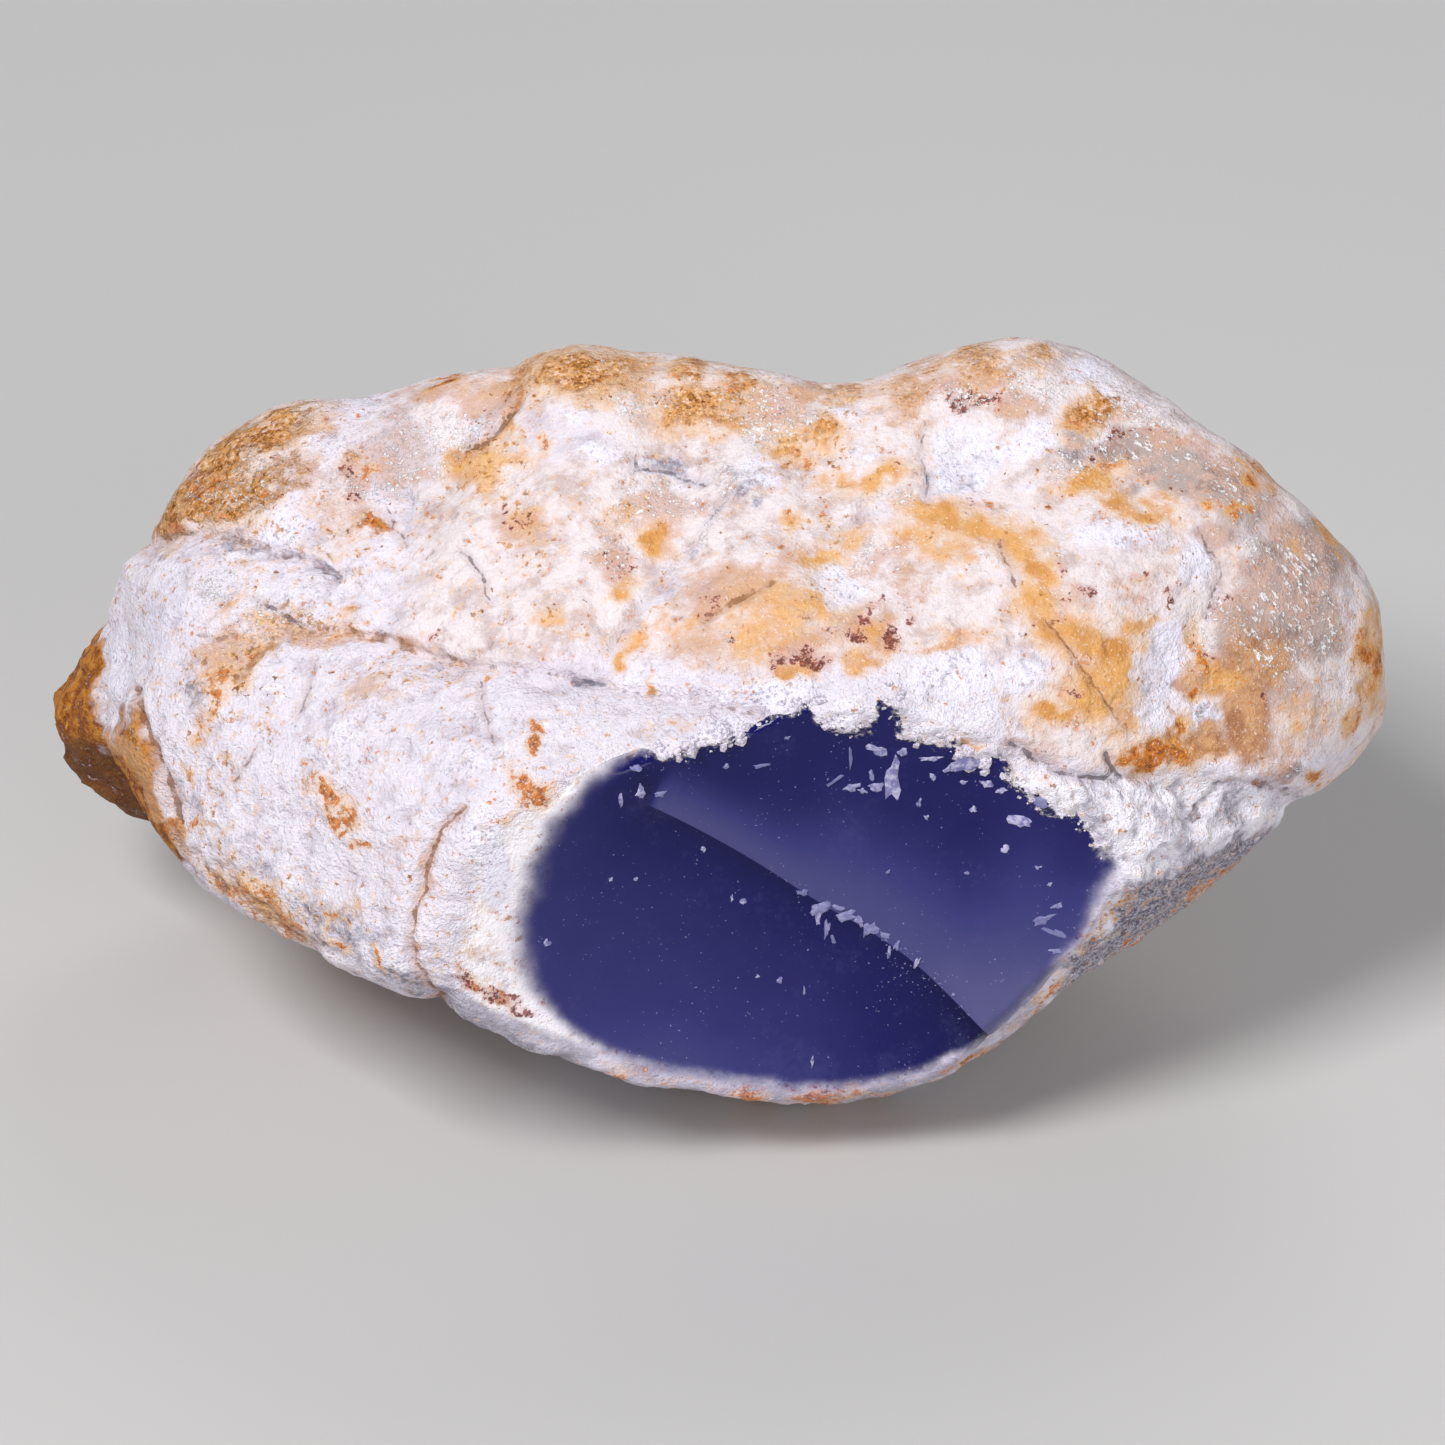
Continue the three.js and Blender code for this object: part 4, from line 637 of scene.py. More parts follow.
def directions(u, v):
    """Unit directions for u, v of -1 to 1 on the six sides: tan(45 deg u), stretched, moved forward."""
    sides = []
    for k, (middle, first, second) in enumerate(grid_sides()):
        out = middle + np.tan(u[k] * np.pi / 4)[..., None] * first
        out = out + np.tan(v[k] * np.pi / 4)[..., None] * second
        sides.append(out)
    out = np.stack(sides)
    out /= np.linalg.norm(out, axis=-1, keepdims=True)
    out *= GRID_STRETCH
    out /= np.linalg.norm(out, axis=-1, keepdims=True)
    out += GRID_FORWARD * OUT_OF_THE_FRONT
    return out / np.linalg.norm(out, axis=-1, keepdims=True)


def flakes(direction):
    """How far the two flakes' hollows lie along each direction; the lift grows as 3t^2 - 2t^3."""
    lower_left = sphere_crossing(direction, LOWER_LEFT_FLAKE, -1)
    upper_right = sphere_crossing(direction, UPPER_RIGHT_FLAKE, -1)
    lower_left, upper_right = np.minimum(lower_left, NEVER_MET), np.minimum(upper_right, NEVER_MET)
    x, _, _ = front_place(CENTRE + upper_right[..., None] * direction)
    return lower_left, upper_right + RIDGE_LIFT * smooth(x, 4, 11)


def crust_radius(direction):
    """Faces and knob run together by (a^n + b^n)^(1/n), then swellings, ledges and the solid's lumps."""
    body = face_radius(direction)
    knob = sphere_crossing(direction, KNOB, 1)
    radius = (body**KNOB_BLEND + knob**KNOB_BLEND) ** (1 / KNOB_BLEND)
    points = CENTRE + radius[..., None] * direction
    height = front_relief(*front_place(points))
    for size, amount, seed in LUMPS:
        height = height + amount * lumps(points, size, seed)
    return radius + height


def pull_to_edges(u, v):
    """Moves grid points on to the ridge and the hollows' rims: a step down the slope of f to f = 0."""
    cell = 2 / GRID_CELLS
    for _ in range(EDGE_ROUNDS):
        direction = directions(u, v)
        crust = crust_radius(direction)
        left, right = flakes(direction)
        ridge = np.where(np.maximum(left, right) < crust + 0.3, left - right, NEVER_MET)
        rim = np.where(np.minimum(left, right) < crust + 2, crust - np.minimum(left, right), NEVER_MET)
        for gap in (rim, ridge):
            slope_u = np.gradient(gap, axis=1)
            slope_v = np.gradient(gap, axis=2)
            steep = slope_u**2 + slope_v**2 + 1e-12
            step_u, step_v = -gap * slope_u / steep, -gap * slope_v / steep
            near = (np.abs(step_u) < 0.5) & (np.abs(step_v) < 0.5) & (gap < NEVER_MET)
            near[:, [0, -1], :] = False
            near[:, :, [0, -1]] = False
            u = u + np.where(near, step_u, 0) * cell
            v = v + np.where(near, step_v, 0) * cell
    return u, v


def window_masks(x, y, points, flake_gap):
    """The core's marks: how far inside it a point is, its edge's softness, crispness and halo, each
    flake's painted sheen, which flake the point is on, how far past the upper one's end, and dust.
    """
    signed = depth_inside(x, y, CORE_EDGE)
    crisp = smooth(y, -9, -5.5) * smooth(x, -6.5, -2.8)
    signed = signed + 0.5 * crisp * lumps(points, 0.9, 61)
    signed = signed + (1 - crisp) * (1 - 0.8 * smooth(y, -12, -15)) * (
        0.7 * lumps(points, 2.6, 67) + 0.5 * lumps(points, 1.1, 68))
    softness = 2 * (SOFT_EDGE + (CRISP_EDGE - SOFT_EDGE) * crisp)
    softness = softness * (1 - 0.3 * smooth(x, 8, 13) - 0.2 * smooth(y, -8, -5) * smooth(x, -3, -7))
    softness = softness * (1 - 0.5 * smooth(y, -13, -16))
    halo = np.exp(-np.maximum(0, -signed) / 0.8) * (1 - crisp)
    ridge, _, _ = line_distance(x, y, RIDGE)
    # Painted sheen on the lower left flake: darkest at the ridge, lighter away from it and at the lower
    # left.
    lower = 0.06 + 0.18 * (1 - np.exp(-ridge)) + 0.02 * np.minimum(ridge, 10)
    lower += 0.2 * smooth(y, -15, -19) * smooth(x, 4, -4)
    lower -= 0.08 * smooth(x, 4, 10) * smooth(y, -12, -16)
    # Painted sheen on the upper right flake: lightest near the ridge, darker away from it.
    above, _, _ = line_distance(x, y, RIDGE[1:])
    reach = 1.9 + 2 * smooth(x, 2, 8) + 2.8 * smooth(x, 12.5, 17)
    darkest = 0.24 - 0.05 * smooth(x, 2, -2)
    brightest = 0.74 + 0.2 * smooth(x, 10, 15)
    upper = darkest + (brightest - darkest) * np.exp(-((above / reach) ** 2))
    upper += 0.15 * smooth(x, 14, 17) * smooth(y, -6, -9) * np.exp(-np.maximum(signed, 0) / 1.5)
    left_end = (x - LEFT_END[0]) - 0.5 * (y - LEFT_END[1]) + 0.5 * lumps(points, 1.3, 69)
    side = np.clip(flake_gap / RIDGE_SLOPE, -2, 2)
    dusty = np.exp(-ridge / 1.6) * smooth(x, 1, 6) * smooth(flake_gap, 0.2, 0)
    dusty = np.maximum(dusty, np.exp(-np.maximum(signed, 0) / 0.8) * smooth(y, -15, -18) * smooth(x, 4, 9))
    return signed, softness, crisp, halo, lower, upper, side, np.clip(left_end, -2, 2), dusty


def surface(direction):
    """The stone's points along directions, and the marks there.

    The radius is the lesser of crust and hollow, rounded off at the soft rim. To it come the fine lumps
    and pits, the crags, the crumbly zone and crumbs, less each crack's groove. What falls below the
    ground is drawn back along its direction to it.
    """
    crust = crust_radius(direction)
    left, right = flakes(direction)
    cut = np.minimum(left, right)
    x, y, out = front_place(CENTRE + np.minimum(crust, cut)[..., None] * direction)
    rounding = RIM_ROUNDING * np.maximum(smooth(x, -5, -8), 0.4 * smooth(y, -15, -17) * smooth(x, 14, 8))
    near_rim = np.maximum(0, rounding - np.abs(crust - cut)) / np.maximum(rounding, 1e-6)
    radius = np.minimum(crust, cut) - near_rim**2 * rounding / 4

    points = CENTRE + radius[..., None] * direction
    x, y, out = front_place(points)
    facing = smooth(out, FRONT_BEGINS, FRONT_IS_FULL)
    signed, softness, crisp, halo, lower, upper, flake_side, left_end, dusty = window_masks(
        x, y, points, left - right)
    rim_gap = crust - cut + 1.4 * smooth(signed, -1.5 + 1.3 * crisp, 0.2 * crisp)
    hollow = smooth(rim_gap, -0.02, 0.06)
    core = smooth(signed, -softness / 2, softness / 2) * hollow

    stray_x = x + MARK_WANDER * (lumps(points, 1.6, 71) + 0.6 * lumps(points, 0.7, 73)) * 2
    stray_y = y + MARK_WANDER * (lumps(points, 1.6, 79) + 0.6 * lumps(points, 0.7, 83)) * 2
    masks = {name: marks(stray_x, stray_y, places) * facing for name, places in MARKS.items()}
    masks["wash"] = marks(stray_x, stray_y, OCHRE + DEEP_ORANGE, WASH_SPREAD) * facing
    masks["crack"] = np.zeros(x.shape)

    # Crumbly crust hangs over the core's upper edge; the milky rim stays smooth.
    crumbs = hollow * crisp * (1 - core) * smooth(signed, -6, -0.1)
    rim = smooth(rim_gap, -0.8, 0.8) * (1 - crumbs) * smooth(signed, -5, -1)
    lower_left = smooth(x, -29.5, -32.5) * smooth(y, 6, 2)
    craggy = lower_left * np.maximum(smooth(x, -31.5, -33), smooth(out, 1, -3))
    broken = smooth(depth_inside(x, y, BROKEN_ZONE), -0.6, 0.4) * facing * (1 - core)
    lower_right = smooth(x, 12, 18)
    even = smooth(x, -21, -15) * smooth(y, 1 - 4 * lower_right, 5 - 6 * lower_right) * facing
    rough = (1 - 0.3 * even * (1 - masks["pure_white"])) * (1 - 0.3 * masks["pure_white"])
    rough = rough * (1 - 0.7 * rim) * (1 - 0.35 * masks["glassy"])
    rough = rough * (1 - 0.3 * masks["lilac"]) * (1 - core)
    height = np.zeros(x.shape)
    for size, amount, seed in FINE_LUMPS:
        height += amount * lumps(points, size, seed) * rough
    for size, seed, depth, begins, full in PITS:
        height -= depth * smooth(lumps(points, size, seed), begins, full) * rough
    relief = height / RELIEF_FULL
    for size, amount, seed in KNOB_CRAGS:
        height += amount * lumps(points, size, seed) * craggy
    for size, amount, seed in BROKEN_LUMPS:
        height += amount * lumps(points, size, seed) * broken
    height += crumbs * (0.2 + 0.5 * lumps(points, 0.9, 97) + 0.25 * lumps(points, 0.5, 99))
    nearest, crack_side = np.full(x.shape, CRACK_REACH), np.full(x.shape, CRACK_REACH)
    crack_width, crack_rust = np.full(x.shape, GROOVE_LEAST), np.zeros(x.shape)
    wobble_x = x + CRACK_WOBBLE * lumps(points, WOBBLE_SIZE, 101)
    wobble_y = y + CRACK_WOBBLE * lumps(points, WOBBLE_SIZE, 103)
    for crack_line, half_width, depth, dark, rusty in CRACKS.values():
        distance, side, end = line_distance(wobble_x, wobble_y, crack_line)
        groove = max(half_width, GROOVE_LEAST)
        height -= depth * np.exp(-((distance / groove) ** 2)) * facing * (1 - core)
        before, near = nearest, distance < nearest
        nearest = np.where(near, distance, nearest)
        crack_side = np.where(near, side * distance, crack_side)
        crack_width = np.where(near, half_width, crack_width)
        crack_rust = np.where(near, rusty, crack_rust)
        strength = dark * smooth(distance, CRACK_REACH, 0.35) * smooth(end, 0.4, 0) * facing
        one_nearer = smooth(np.abs(distance - before), 0.05, 0.35)
        parted = np.maximum(one_nearer, smooth(np.minimum(distance, before), 0.2, 0.1))
        masks["crack"] = np.where(near, strength, masks["crack"]) * parted
    masks.update(crack_side=crack_side, crack_width=crack_width, crack_rust=crack_rust)

    points = points + height[..., None] * direction
    flat = np.where(direction[..., 2] < 0, -points[..., 2] / np.minimum(direction[..., 2], -1e-9), -1)
    points = points + np.where(points[..., 2] < 0, flat, 0)[..., None] * direction
    thin_rim, _, _ = line_distance(x, y, THIN_RIM)
    masks.update(core_edge=np.clip(signed, -4, 4), core_softness=softness, crisp=crisp, halo=halo * hollow,
                 lower_glow=lower, upper_glow=upper, flake_side=flake_side, left_end=left_end,
                 rim_gap=np.clip(rim_gap, -1, 1), facing=facing, relief=np.clip(relief, -1, 1),
                 thin_rim=smooth(thin_rim, THIN_RIM_HALF * 1.6, THIN_RIM_HALF * 0.4) * facing,
                 pale_rim=rim * smooth(x, -3, -7) * (1 - core), dusty=dusty)
    ragged = lumps(points, 2.6, 131) + 0.7 * lumps(points, 1.1, 133)
    from_knob = np.linalg.norm(points - CENTRE - KNOB[0], axis=-1) - KNOB[1]
    knob_behind = smooth(from_knob - 2.6 * ragged, 1.6, 0.4) * smooth(out + 2 * ragged, -5.5, -8.5)
    knob_before = smooth(depth_inside(stray_x, stray_y, KNOB_STAIN) + 0.8 * ragged, -0.3, 0.3)
    masks["knob"] = np.maximum(knob_before, knob_behind)
    masks["knob_shade"] = smooth(line_distance(x, y, KNOB_SHADE)[0], 2.0, 0.3) * smooth(from_knob, 1.6, 0.4)
    masks["knob_blade"] = smooth(line_distance(x, y, KNOB_BLADE)[0], 0.7, 0.2)
    masks["facet"] = smooth(depth_inside(stray_x, stray_y, SHADED_FACET), -0.3, 0.3) * facing
    masks["broken"] = broken
    masks["porcelain"] = even * (1 - 0.8 * masks["pure_white"]) * (1 - masks["grey"])
    masks["gritty"] = np.maximum(smooth(x, -14, -20) * smooth(y, 6, 9), smooth(y, 13.5, 17)) * facing
    masks["smooth"] = 1 - rough
    return points, masks


def stone():
    """Points and marks of the whole stone, from one grid of directions on six sides."""
    line = np.linspace(-1, 1, GRID_CELLS + 1)
    u, v = np.meshgrid(line, line, indexing="ij")
    u, v = pull_to_edges(np.stack([u] * 6), np.stack([v] * 6))
    return surface(directions(u, v))


def stone_mesh(name):
    """The grid's points as one closed mesh of quads, with a mark attribute each and a map of the sides."""
    points, masks = stone()
    row = GRID_CELLS + 1
    i, j = np.meshgrid(np.arange(GRID_CELLS), np.arange(GRID_CELLS), indexing="ij")
    corner = (i * row + j).ravel()
    quad = np.stack([corner, corner + row, corner + row + 1, corner + 1], axis=-1)
    quads = np.concatenate([quad + side * row * row for side in range(6)])
    flat = points.reshape(-1, 3)
    _, first, back = np.unique(np.round(flat, 4), axis=0, return_index=True, return_inverse=True)
    sewn = back.reshape(-1)[quads]

    mesh = bpy.data.meshes.new(name)
    mesh.vertices.add(len(first))
    mesh.vertices.foreach_set("co", (flat[first] * MM).ravel().astype(np.float32))
    mesh.loops.add(sewn.size)
    mesh.loops.foreach_set("vertex_index", sewn.ravel().astype(np.int32))
    mesh.polygons.add(len(sewn))
    mesh.polygons.foreach_set("loop_start", np.arange(0, sewn.size, 4, dtype=np.int32))
    mesh.polygons.foreach_set("use_smooth", np.ones(len(sewn), bool))
    mesh.update(calc_edges=True)
    for mark, values in masks.items():
        store(mesh, mark, values.reshape(-1)[first])
    add_side_map(mesh, quads, row)
    mesh.validate()
    return mesh


def store(mesh, name, values):
    """Keeps one value for each point of a mesh, for its material to read."""
    stored = mesh.attributes.new(name, "FLOAT", "POINT")
    stored.data.foreach_set("value", values.astype(np.float32))


SIDE_MARGIN = 0.01


def add_side_map(mesh, quads, row):
    """A map with the six sides in three columns and two rows, each a little inside its own cell."""
    side, place = quads // (row * row), quads % (row * row)
    u = (place // row) / GRID_CELLS * (1 - 2 * SIDE_MARGIN) + SIDE_MARGIN
    v = (place % row) / GRID_CELLS * (1 - 2 * SIDE_MARGIN) + SIDE_MARGIN
    uv = np.stack([(u + side % 3) / 3, (v + side // 3) / 2], axis=-1)
    layer = mesh.uv_layers.new(name="OFBake")
    layer.data.foreach_set("uv", uv.ravel().astype(np.float32))


# ---------------------------------------------------------------------------
# Splinters and crumbs that lie on the stone
# ---------------------------------------------------------------------------

FIRST_GUESS_OUT = 12.0  # how far a point may stand out of the front plane, to begin with
GUESSES = 8
STEP_ASIDE = 0.25  # to the neighbours that the way out is worked out from

SPLINTER_PATTERN, CRUMB_PATTERN = 7, 11  # the seeds of their random draws
SPLINTER_AROUND, SPLINTER_UP = 12, 6
SPLINTER_THICKNESS = 0.09
SPLINTER_SCALE = 0.9
CRUMB_AROUND, CRUMB_UP = 7, 4
CRUMBS = 170
CRUMB_SMALLEST, CRUMB_RANGE = 0.06, 0.3  # half size of the smallest, and what the largest has more
CRUMB_SCATTER = 0.32  # about the crust's edge
CRUMB_SHIFT = np.array([0.15, 0.3])  # from that edge towards the crust


def surface_at(x, y):
    """The stone's points met at x, y of the front.

    It starts from a guess of how far each point stands out of the front plane, and corrects it.
    """
    out = np.full(x.shape, FIRST_GUESS_OUT)
    for _ in range(GUESSES):
        spread = SIGHT / (SIGHT - out)
        guess = (x / spread)[..., None] * ACROSS + (y / spread)[..., None] * UP_THE_FRONT
        direction = FRONT_ORIGIN + guess + out[..., None] * OUT_OF_THE_FRONT - CENTRE
        direction /= np.linalg.norm(direction, axis=-1, keepdims=True)
        points, _ = surface(direction)
        out = 0.5 * out + 0.5 * front_place(points)[2]
    return points


def outward_at(x, y, step=STEP_ASIDE):
    """Points of the stone at x, y of the front, and the way out of its surface there."""
    points = surface_at(np.stack([x, x + step, x]), np.stack([y, y, y + step]))
    across, up = points[1] - points[0], points[2] - points[0]
    outward = np.cross(across, up)
    outward /= np.linalg.norm(outward, axis=-1, keepdims=True)
    return points[0], outward


def lump_rings(points, outward, sizes, turn, around, levels, flatness, stray, rng):
    """Closed lumps: rings of a ball cos(b)^flatness wide and sin(b) high, every corner straying.

    sizes holds half length, half width and half height; turn is in degrees about the way out.
    """
    count = len(points)
    angle = np.arange(around) * 2 * np.pi / around
    up = np.linspace(-np.pi / 2, np.pi / 2, levels + 1)
    ragged = rng.random((count, 1, around)) * 2 - 1
    ragged = 1 + stray * (ragged + 0.4 * np.roll(ragged, 1, axis=2))
    ragged = ragged * (1 + 0.3 * stray * (rng.random((count, levels + 1, around)) * 2 - 1))
    flat = np.maximum(np.cos(up), 0)[None, :, None] ** flatness * ragged
    rise = np.sin(up)[None, :, None] * (1 + 0.5 * stray * (rng.random((count, 1, around)) * 2 - 1))
    rise[:, [0, -1]] = np.array([-1.0, 1.0])[None, :, None]
    a = flat * np.cos(angle) * sizes[:, 0, None, None]
    b = flat * np.sin(angle) * sizes[:, 1, None, None]
    cos, sin = np.cos(np.radians(turn))[:, None, None], np.sin(np.radians(turn))[:, None, None]
    right = ACROSS - outward * (outward @ ACROSS)[:, None]
    right /= np.linalg.norm(right, axis=1, keepdims=True)
    top = np.cross(outward, right)
    put = points[:, None, None, :] + (a * cos - b * sin)[..., None] * right[:, None, None, :]
    put = put + (a * sin + b * cos)[..., None] * top[:, None, None, :]
    return put + (rise * sizes[:, 2, None, None])[..., None] * outward[:, None, None, :]


def lumps_mesh(name, rings):
    """One mesh of closed lumps from points [lump, ring, around]; each end ring is one point."""
    count, levels, around, _ = rings.shape
    inner = rings[:, 1:-1].reshape(count, -1, 3)
    ends = np.stack([rings[:, 0].mean(1), rings[:, -1].mean(1)], axis=1)
    points = np.concatenate([inner, ends], axis=1)
    k = np.arange(around)
    after = (k + 1) % around
    quads = []
    for level in range(levels - 3):
        low, high = level * around, (level + 1) * around
        quads.append(np.stack([low + k, low + after, high + after, high + k], axis=1))
    quads = np.concatenate(quads)
    bottom, top = inner.shape[1], inner.shape[1] + 1
    last = (levels - 3) * around
    caps = np.concatenate([np.stack([after, k, np.full(around, bottom)], axis=1),
                           np.stack([last + k, last + after, np.full(around, top)], axis=1)])
    start = (np.arange(count) * points.shape[1])[:, None, None]
    quads = (quads[None] + start).reshape(-1, 4)
    caps = (caps[None] + start).reshape(-1, 3)
    mesh = bpy.data.meshes.new(name)
    mesh.from_pydata((points.reshape(-1, 3) * MM).tolist(), [], quads.tolist() + caps.tolist())
    return mesh, points.shape[1]


def splinter_mesh(name):
    """The splinters on the window's glass, each where CHIPS says, ragged and thin."""
    rng = np.random.default_rng(SPLINTER_PATTERN)
    x, y, length, width, turn, strength = np.array(CHIPS, float).T
    points, outward = outward_at(x, y)
    sizes = np.stack([length, width, SPLINTER_THICKNESS * (0.6 + 0.8 * rng.random(len(x)))], axis=1)
    sizes = SPLINTER_SCALE * sizes
    rings = lump_rings(points, outward, sizes, turn, SPLINTER_AROUND, SPLINTER_UP, 0.6, 0.5, rng)
    mesh, per_lump = lumps_mesh(name, rings)
    store(mesh, "faint", np.repeat(1 - strength, per_lump))
    return mesh


def crumb_mesh(name):
    """Crumbs along the crust's edge over the window, scattered."""
    rng = np.random.default_rng(CRUMB_PATTERN)
    first, last = CORE_EDGE.index((-4.3, -1.3)), CORE_EDGE.index((20.8, -7.6))
    edge = np.array(CORE_EDGE[first:last + 1])
    along = rng.random(CRUMBS) * (len(edge) - 1)
    k = along.astype(int)
    place = edge[k] + (along - k)[:, None] * (edge[k + 1] - edge[k])
    place += rng.normal(0, CRUMB_SCATTER, place.shape) + CRUMB_SHIFT
    points, outward = outward_at(place[:, 0], place[:, 1])
    size = CRUMB_SMALLEST + CRUMB_RANGE * rng.random(CRUMBS) ** 3
    sizes = size[:, None] * (0.7 + 0.6 * rng.random((len(size), 3))) * np.array([1, 1, 0.6])
    turn = rng.random(len(size)) * 360
    rings = lump_rings(points, outward, sizes, turn, CRUMB_AROUND, CRUMB_UP, 0.8, 0.5, rng)
    return lumps_mesh(name, rings)[0]


# ---------------------------------------------------------------------------
# Materials
# ---------------------------------------------------------------------------


class Wire:
    """A shader socket that formulas are written on: a + b, 1 - a and so on add Math nodes."""

    def __init__(self, tree, socket=None):
        self.tree = tree
        self.socket = socket

    def node(self, kind, settings=None, inputs=None, output=0):
        """Adds a node: its settings first, then each socket's value or wire, by the socket's identifier."""
        made = self.tree.nodes.new("ShaderNode" + kind)
        for name, value in (settings or {}).items():
            if name == "stops":
                ramp = made.color_ramp.elements
                while len(ramp) < len(value):
                    ramp.new(0.5)
                for element, (position, colour) in zip(ramp, value):
                    element.position, element.color = position, colour
            else:
                setattr(made, name, value)
        sockets = {socket.identifier: socket for socket in made.inputs}
        for name, value in (inputs or {}).items():
            if isinstance(value, Wire):
                self.tree.links.new(value.socket, sockets[name])
            else:
                sockets[name].default_value = value
        return Wire(self.tree, made.outputs[output] if made.outputs else None)

    def math(self, operation, a, b):
        """Adds a Math node that works on two wires or numbers."""
        return self.node("Math", {"operation": operation}, {"Value": a, "Value_001": b})

    def __add__(self, other):
        return self.math("ADD", self, other)

    __radd__ = __add__

    def __mul__(self, other):
        return self.math("MULTIPLY", self, other)

    __rmul__ = __mul__

    def __sub__(self, other):
        return self.math("SUBTRACT", self, other)

    def __rsub__(self, other):
        return self.math("SUBTRACT", other, self)


def srgb(red, green, blue):
    """A display colour of 0 to 255 as the linear colour, with alpha 1, that shaders take."""
    parts = np.array([red, green, blue]) / 255
    linear = np.where(parts <= 0.04045, parts / 12.92, ((parts + 0.055) / 1.055) ** 2.4)
    return (*linear.tolist(), 1.0)


def mix(factor, first, second):
    """A colour: first where factor is 0, second where it is 1."""
    inputs = {"Factor_Float": factor, "A_Color": first, "B_Color": second}
    return factor.node("Mix", {"data_type": "RGBA"}, inputs, output=2)


def shade(factor, colour, tone):
    """The colour, multiplied by a tone where factor is 1."""
    inputs = {"Factor_Float": factor, "A_Color": colour, "B_Color": tone}
    return factor.node("Mix", {"data_type": "RGBA", "blend_type": "MULTIPLY"}, inputs, output=2)


def between(wire, low, high):
    """0 before low, 1 past high, eased between them; it falls where low is the larger."""
    return wire.node("MapRange", {"interpolation_type": "SMOOTHSTEP"},
                     {"Value": wire, "From Min": low, "From Max": high})


def new_material(name):
    """An empty material, the wire that its nodes are added with, and Object coordinates."""
    material = bpy.data.materials.new(name)
    material.use_nodes = True
    material.node_tree.nodes.clear()
    base = Wire(material.node_tree)
    return material, base, base.node("TexCoord", output=3)


def attribute(base, name):
    """A value that the mesh keeps for each of its points."""
    return base.node("Attribute", {"attribute_name": name}, output=2)


def grain(base, place, size, detail, roughness):
    """Noise of about 0.3 to 0.7 that changes over a size in millimetres, with finer layers on it."""
    inputs = {"Vector": place, "Scale": 1 / (size * MM), "Detail": detail, "Roughness": roughness}
    return base.node("TexNoise", None, inputs)


COOL_WHITE = srgb(232, 224, 235)
WARM_WHITE = srgb(232, 220, 222)
CLEAR_LILAC = srgb(218, 210, 224)
CLEAR_PINK = srgb(200, 178, 175)
STREAK = (0.64, -0.43, -0.635)  # the way that the glassy end's sparkling grains are drawn out
PURE_WHITE_CRUST = srgb(238, 233, 246)
RIM_PAINTED_LIGHT = srgb(255, 248, 252)
GRAIN_HIGHLIGHT = srgb(252, 249, 253)
BROKEN_WHITE = srgb(244, 240, 250)
CREAM_CRUST = srgb(234, 210, 198)
LILAC_CRUST = srgb(211, 206, 226)
SHADE_AND_CRUMB_GREY = srgb(176, 168, 184)
HOLLOW_SHADE_TONE = srgb(214, 207, 210)
GLASSY_GREY = srgb(172, 155, 150)
GLASSY_PINK = srgb(200, 166, 152)
GLASSY_DIM = srgb(150, 118, 108)
RIM_SHADE_GREY = srgb(160, 152, 168)
FACET_SHADE_DARK = srgb(100, 94, 108)
FACET_SHADE_PALE = srgb(180, 174, 190)
GRIME_SHADE_DARK = srgb(112, 106, 120)
GRIME_SHADE_PALE = srgb(192, 186, 200)
PEACH = srgb(230, 190, 152)
TAN_PINK = srgb(208, 168, 154)
TAN_BROWN = srgb(204, 158, 124)
AMBER_PALE = srgb(206, 154, 108)
AMBER_DEEP = srgb(166, 106, 58)
OCHRE_PALE = srgb(232, 174, 98)
OCHRE_DEEP = srgb(204, 134, 48)
RUST_PALE = srgb(208, 120, 42)
RUST_DEEP = srgb(132, 64, 16)
GRIT_BROWN = srgb(86, 48, 18)
FLECK_BRIGHT = srgb(200, 138, 74)
FLECK_DARK = srgb(132, 84, 40)
CRIMSON_DARK = srgb(76, 26, 28)
CRIMSON_BRIGHT = srgb(150, 74, 58)
CRIMSON_BLUSH = srgb(214, 160, 146)
SPARKLE_WHITE = srgb(252, 249, 252)
KNOB_SHADE_BROWN = srgb(92, 50, 20)
CRACK_GREY = srgb(96, 90, 104)
CRACK_BROWN = srgb(138, 88, 48)
MILKY_LILAC = srgb(172, 168, 208)
SPLINTER_GREY = srgb(118, 117, 168)
SPLINTER_WHITE = srgb(186, 183, 214)
DUSTY_BLUE = srgb(92, 92, 150)
# The core's ramp, from its own dark indigo to the paler shades that stand for painted sheen.
CORE_STOPS = [
    (0.0, srgb(0, 0, 56)), (0.25, srgb(18, 18, 84)), (0.5, srgb(50, 51, 113)), (0.75, srgb(70, 69, 120)),
    (1.0, srgb(92, 90, 134)),
]
CORE_ROUGHNESS = 0.14
STONE_IOR, CRUST_SPECULAR = 1.54, 0.22
CRUST_BUMP, SPLINTER_BUMP, CRUMB_BUMP = 0.28 * MM, 0.1 * MM, 0.08 * MM
OTHER_PLACE = (0.31, 0.17, 0.23)  # shift in metres, for noise unlike the noise at the same point

MARK_NAMES = (
    "ochre", "deep_orange", "crimson", "tan", "amber", "grey", "cream", "glassy", "pure_white", "lilac",
    "wash", "knob", "crack", "crack_side", "crack_width", "crack_rust", "flecked", "relief", "smooth",
    "core_edge", "core_softness", "crisp", "halo", "lower_glow", "upper_glow", "flake_side", "left_end",
    "rim_gap", "facing", "thin_rim", "pale_rim", "knob_shade", "knob_blade", "facet", "broken", "dusty",
    "porcelain", "gritty", "sugary",
)


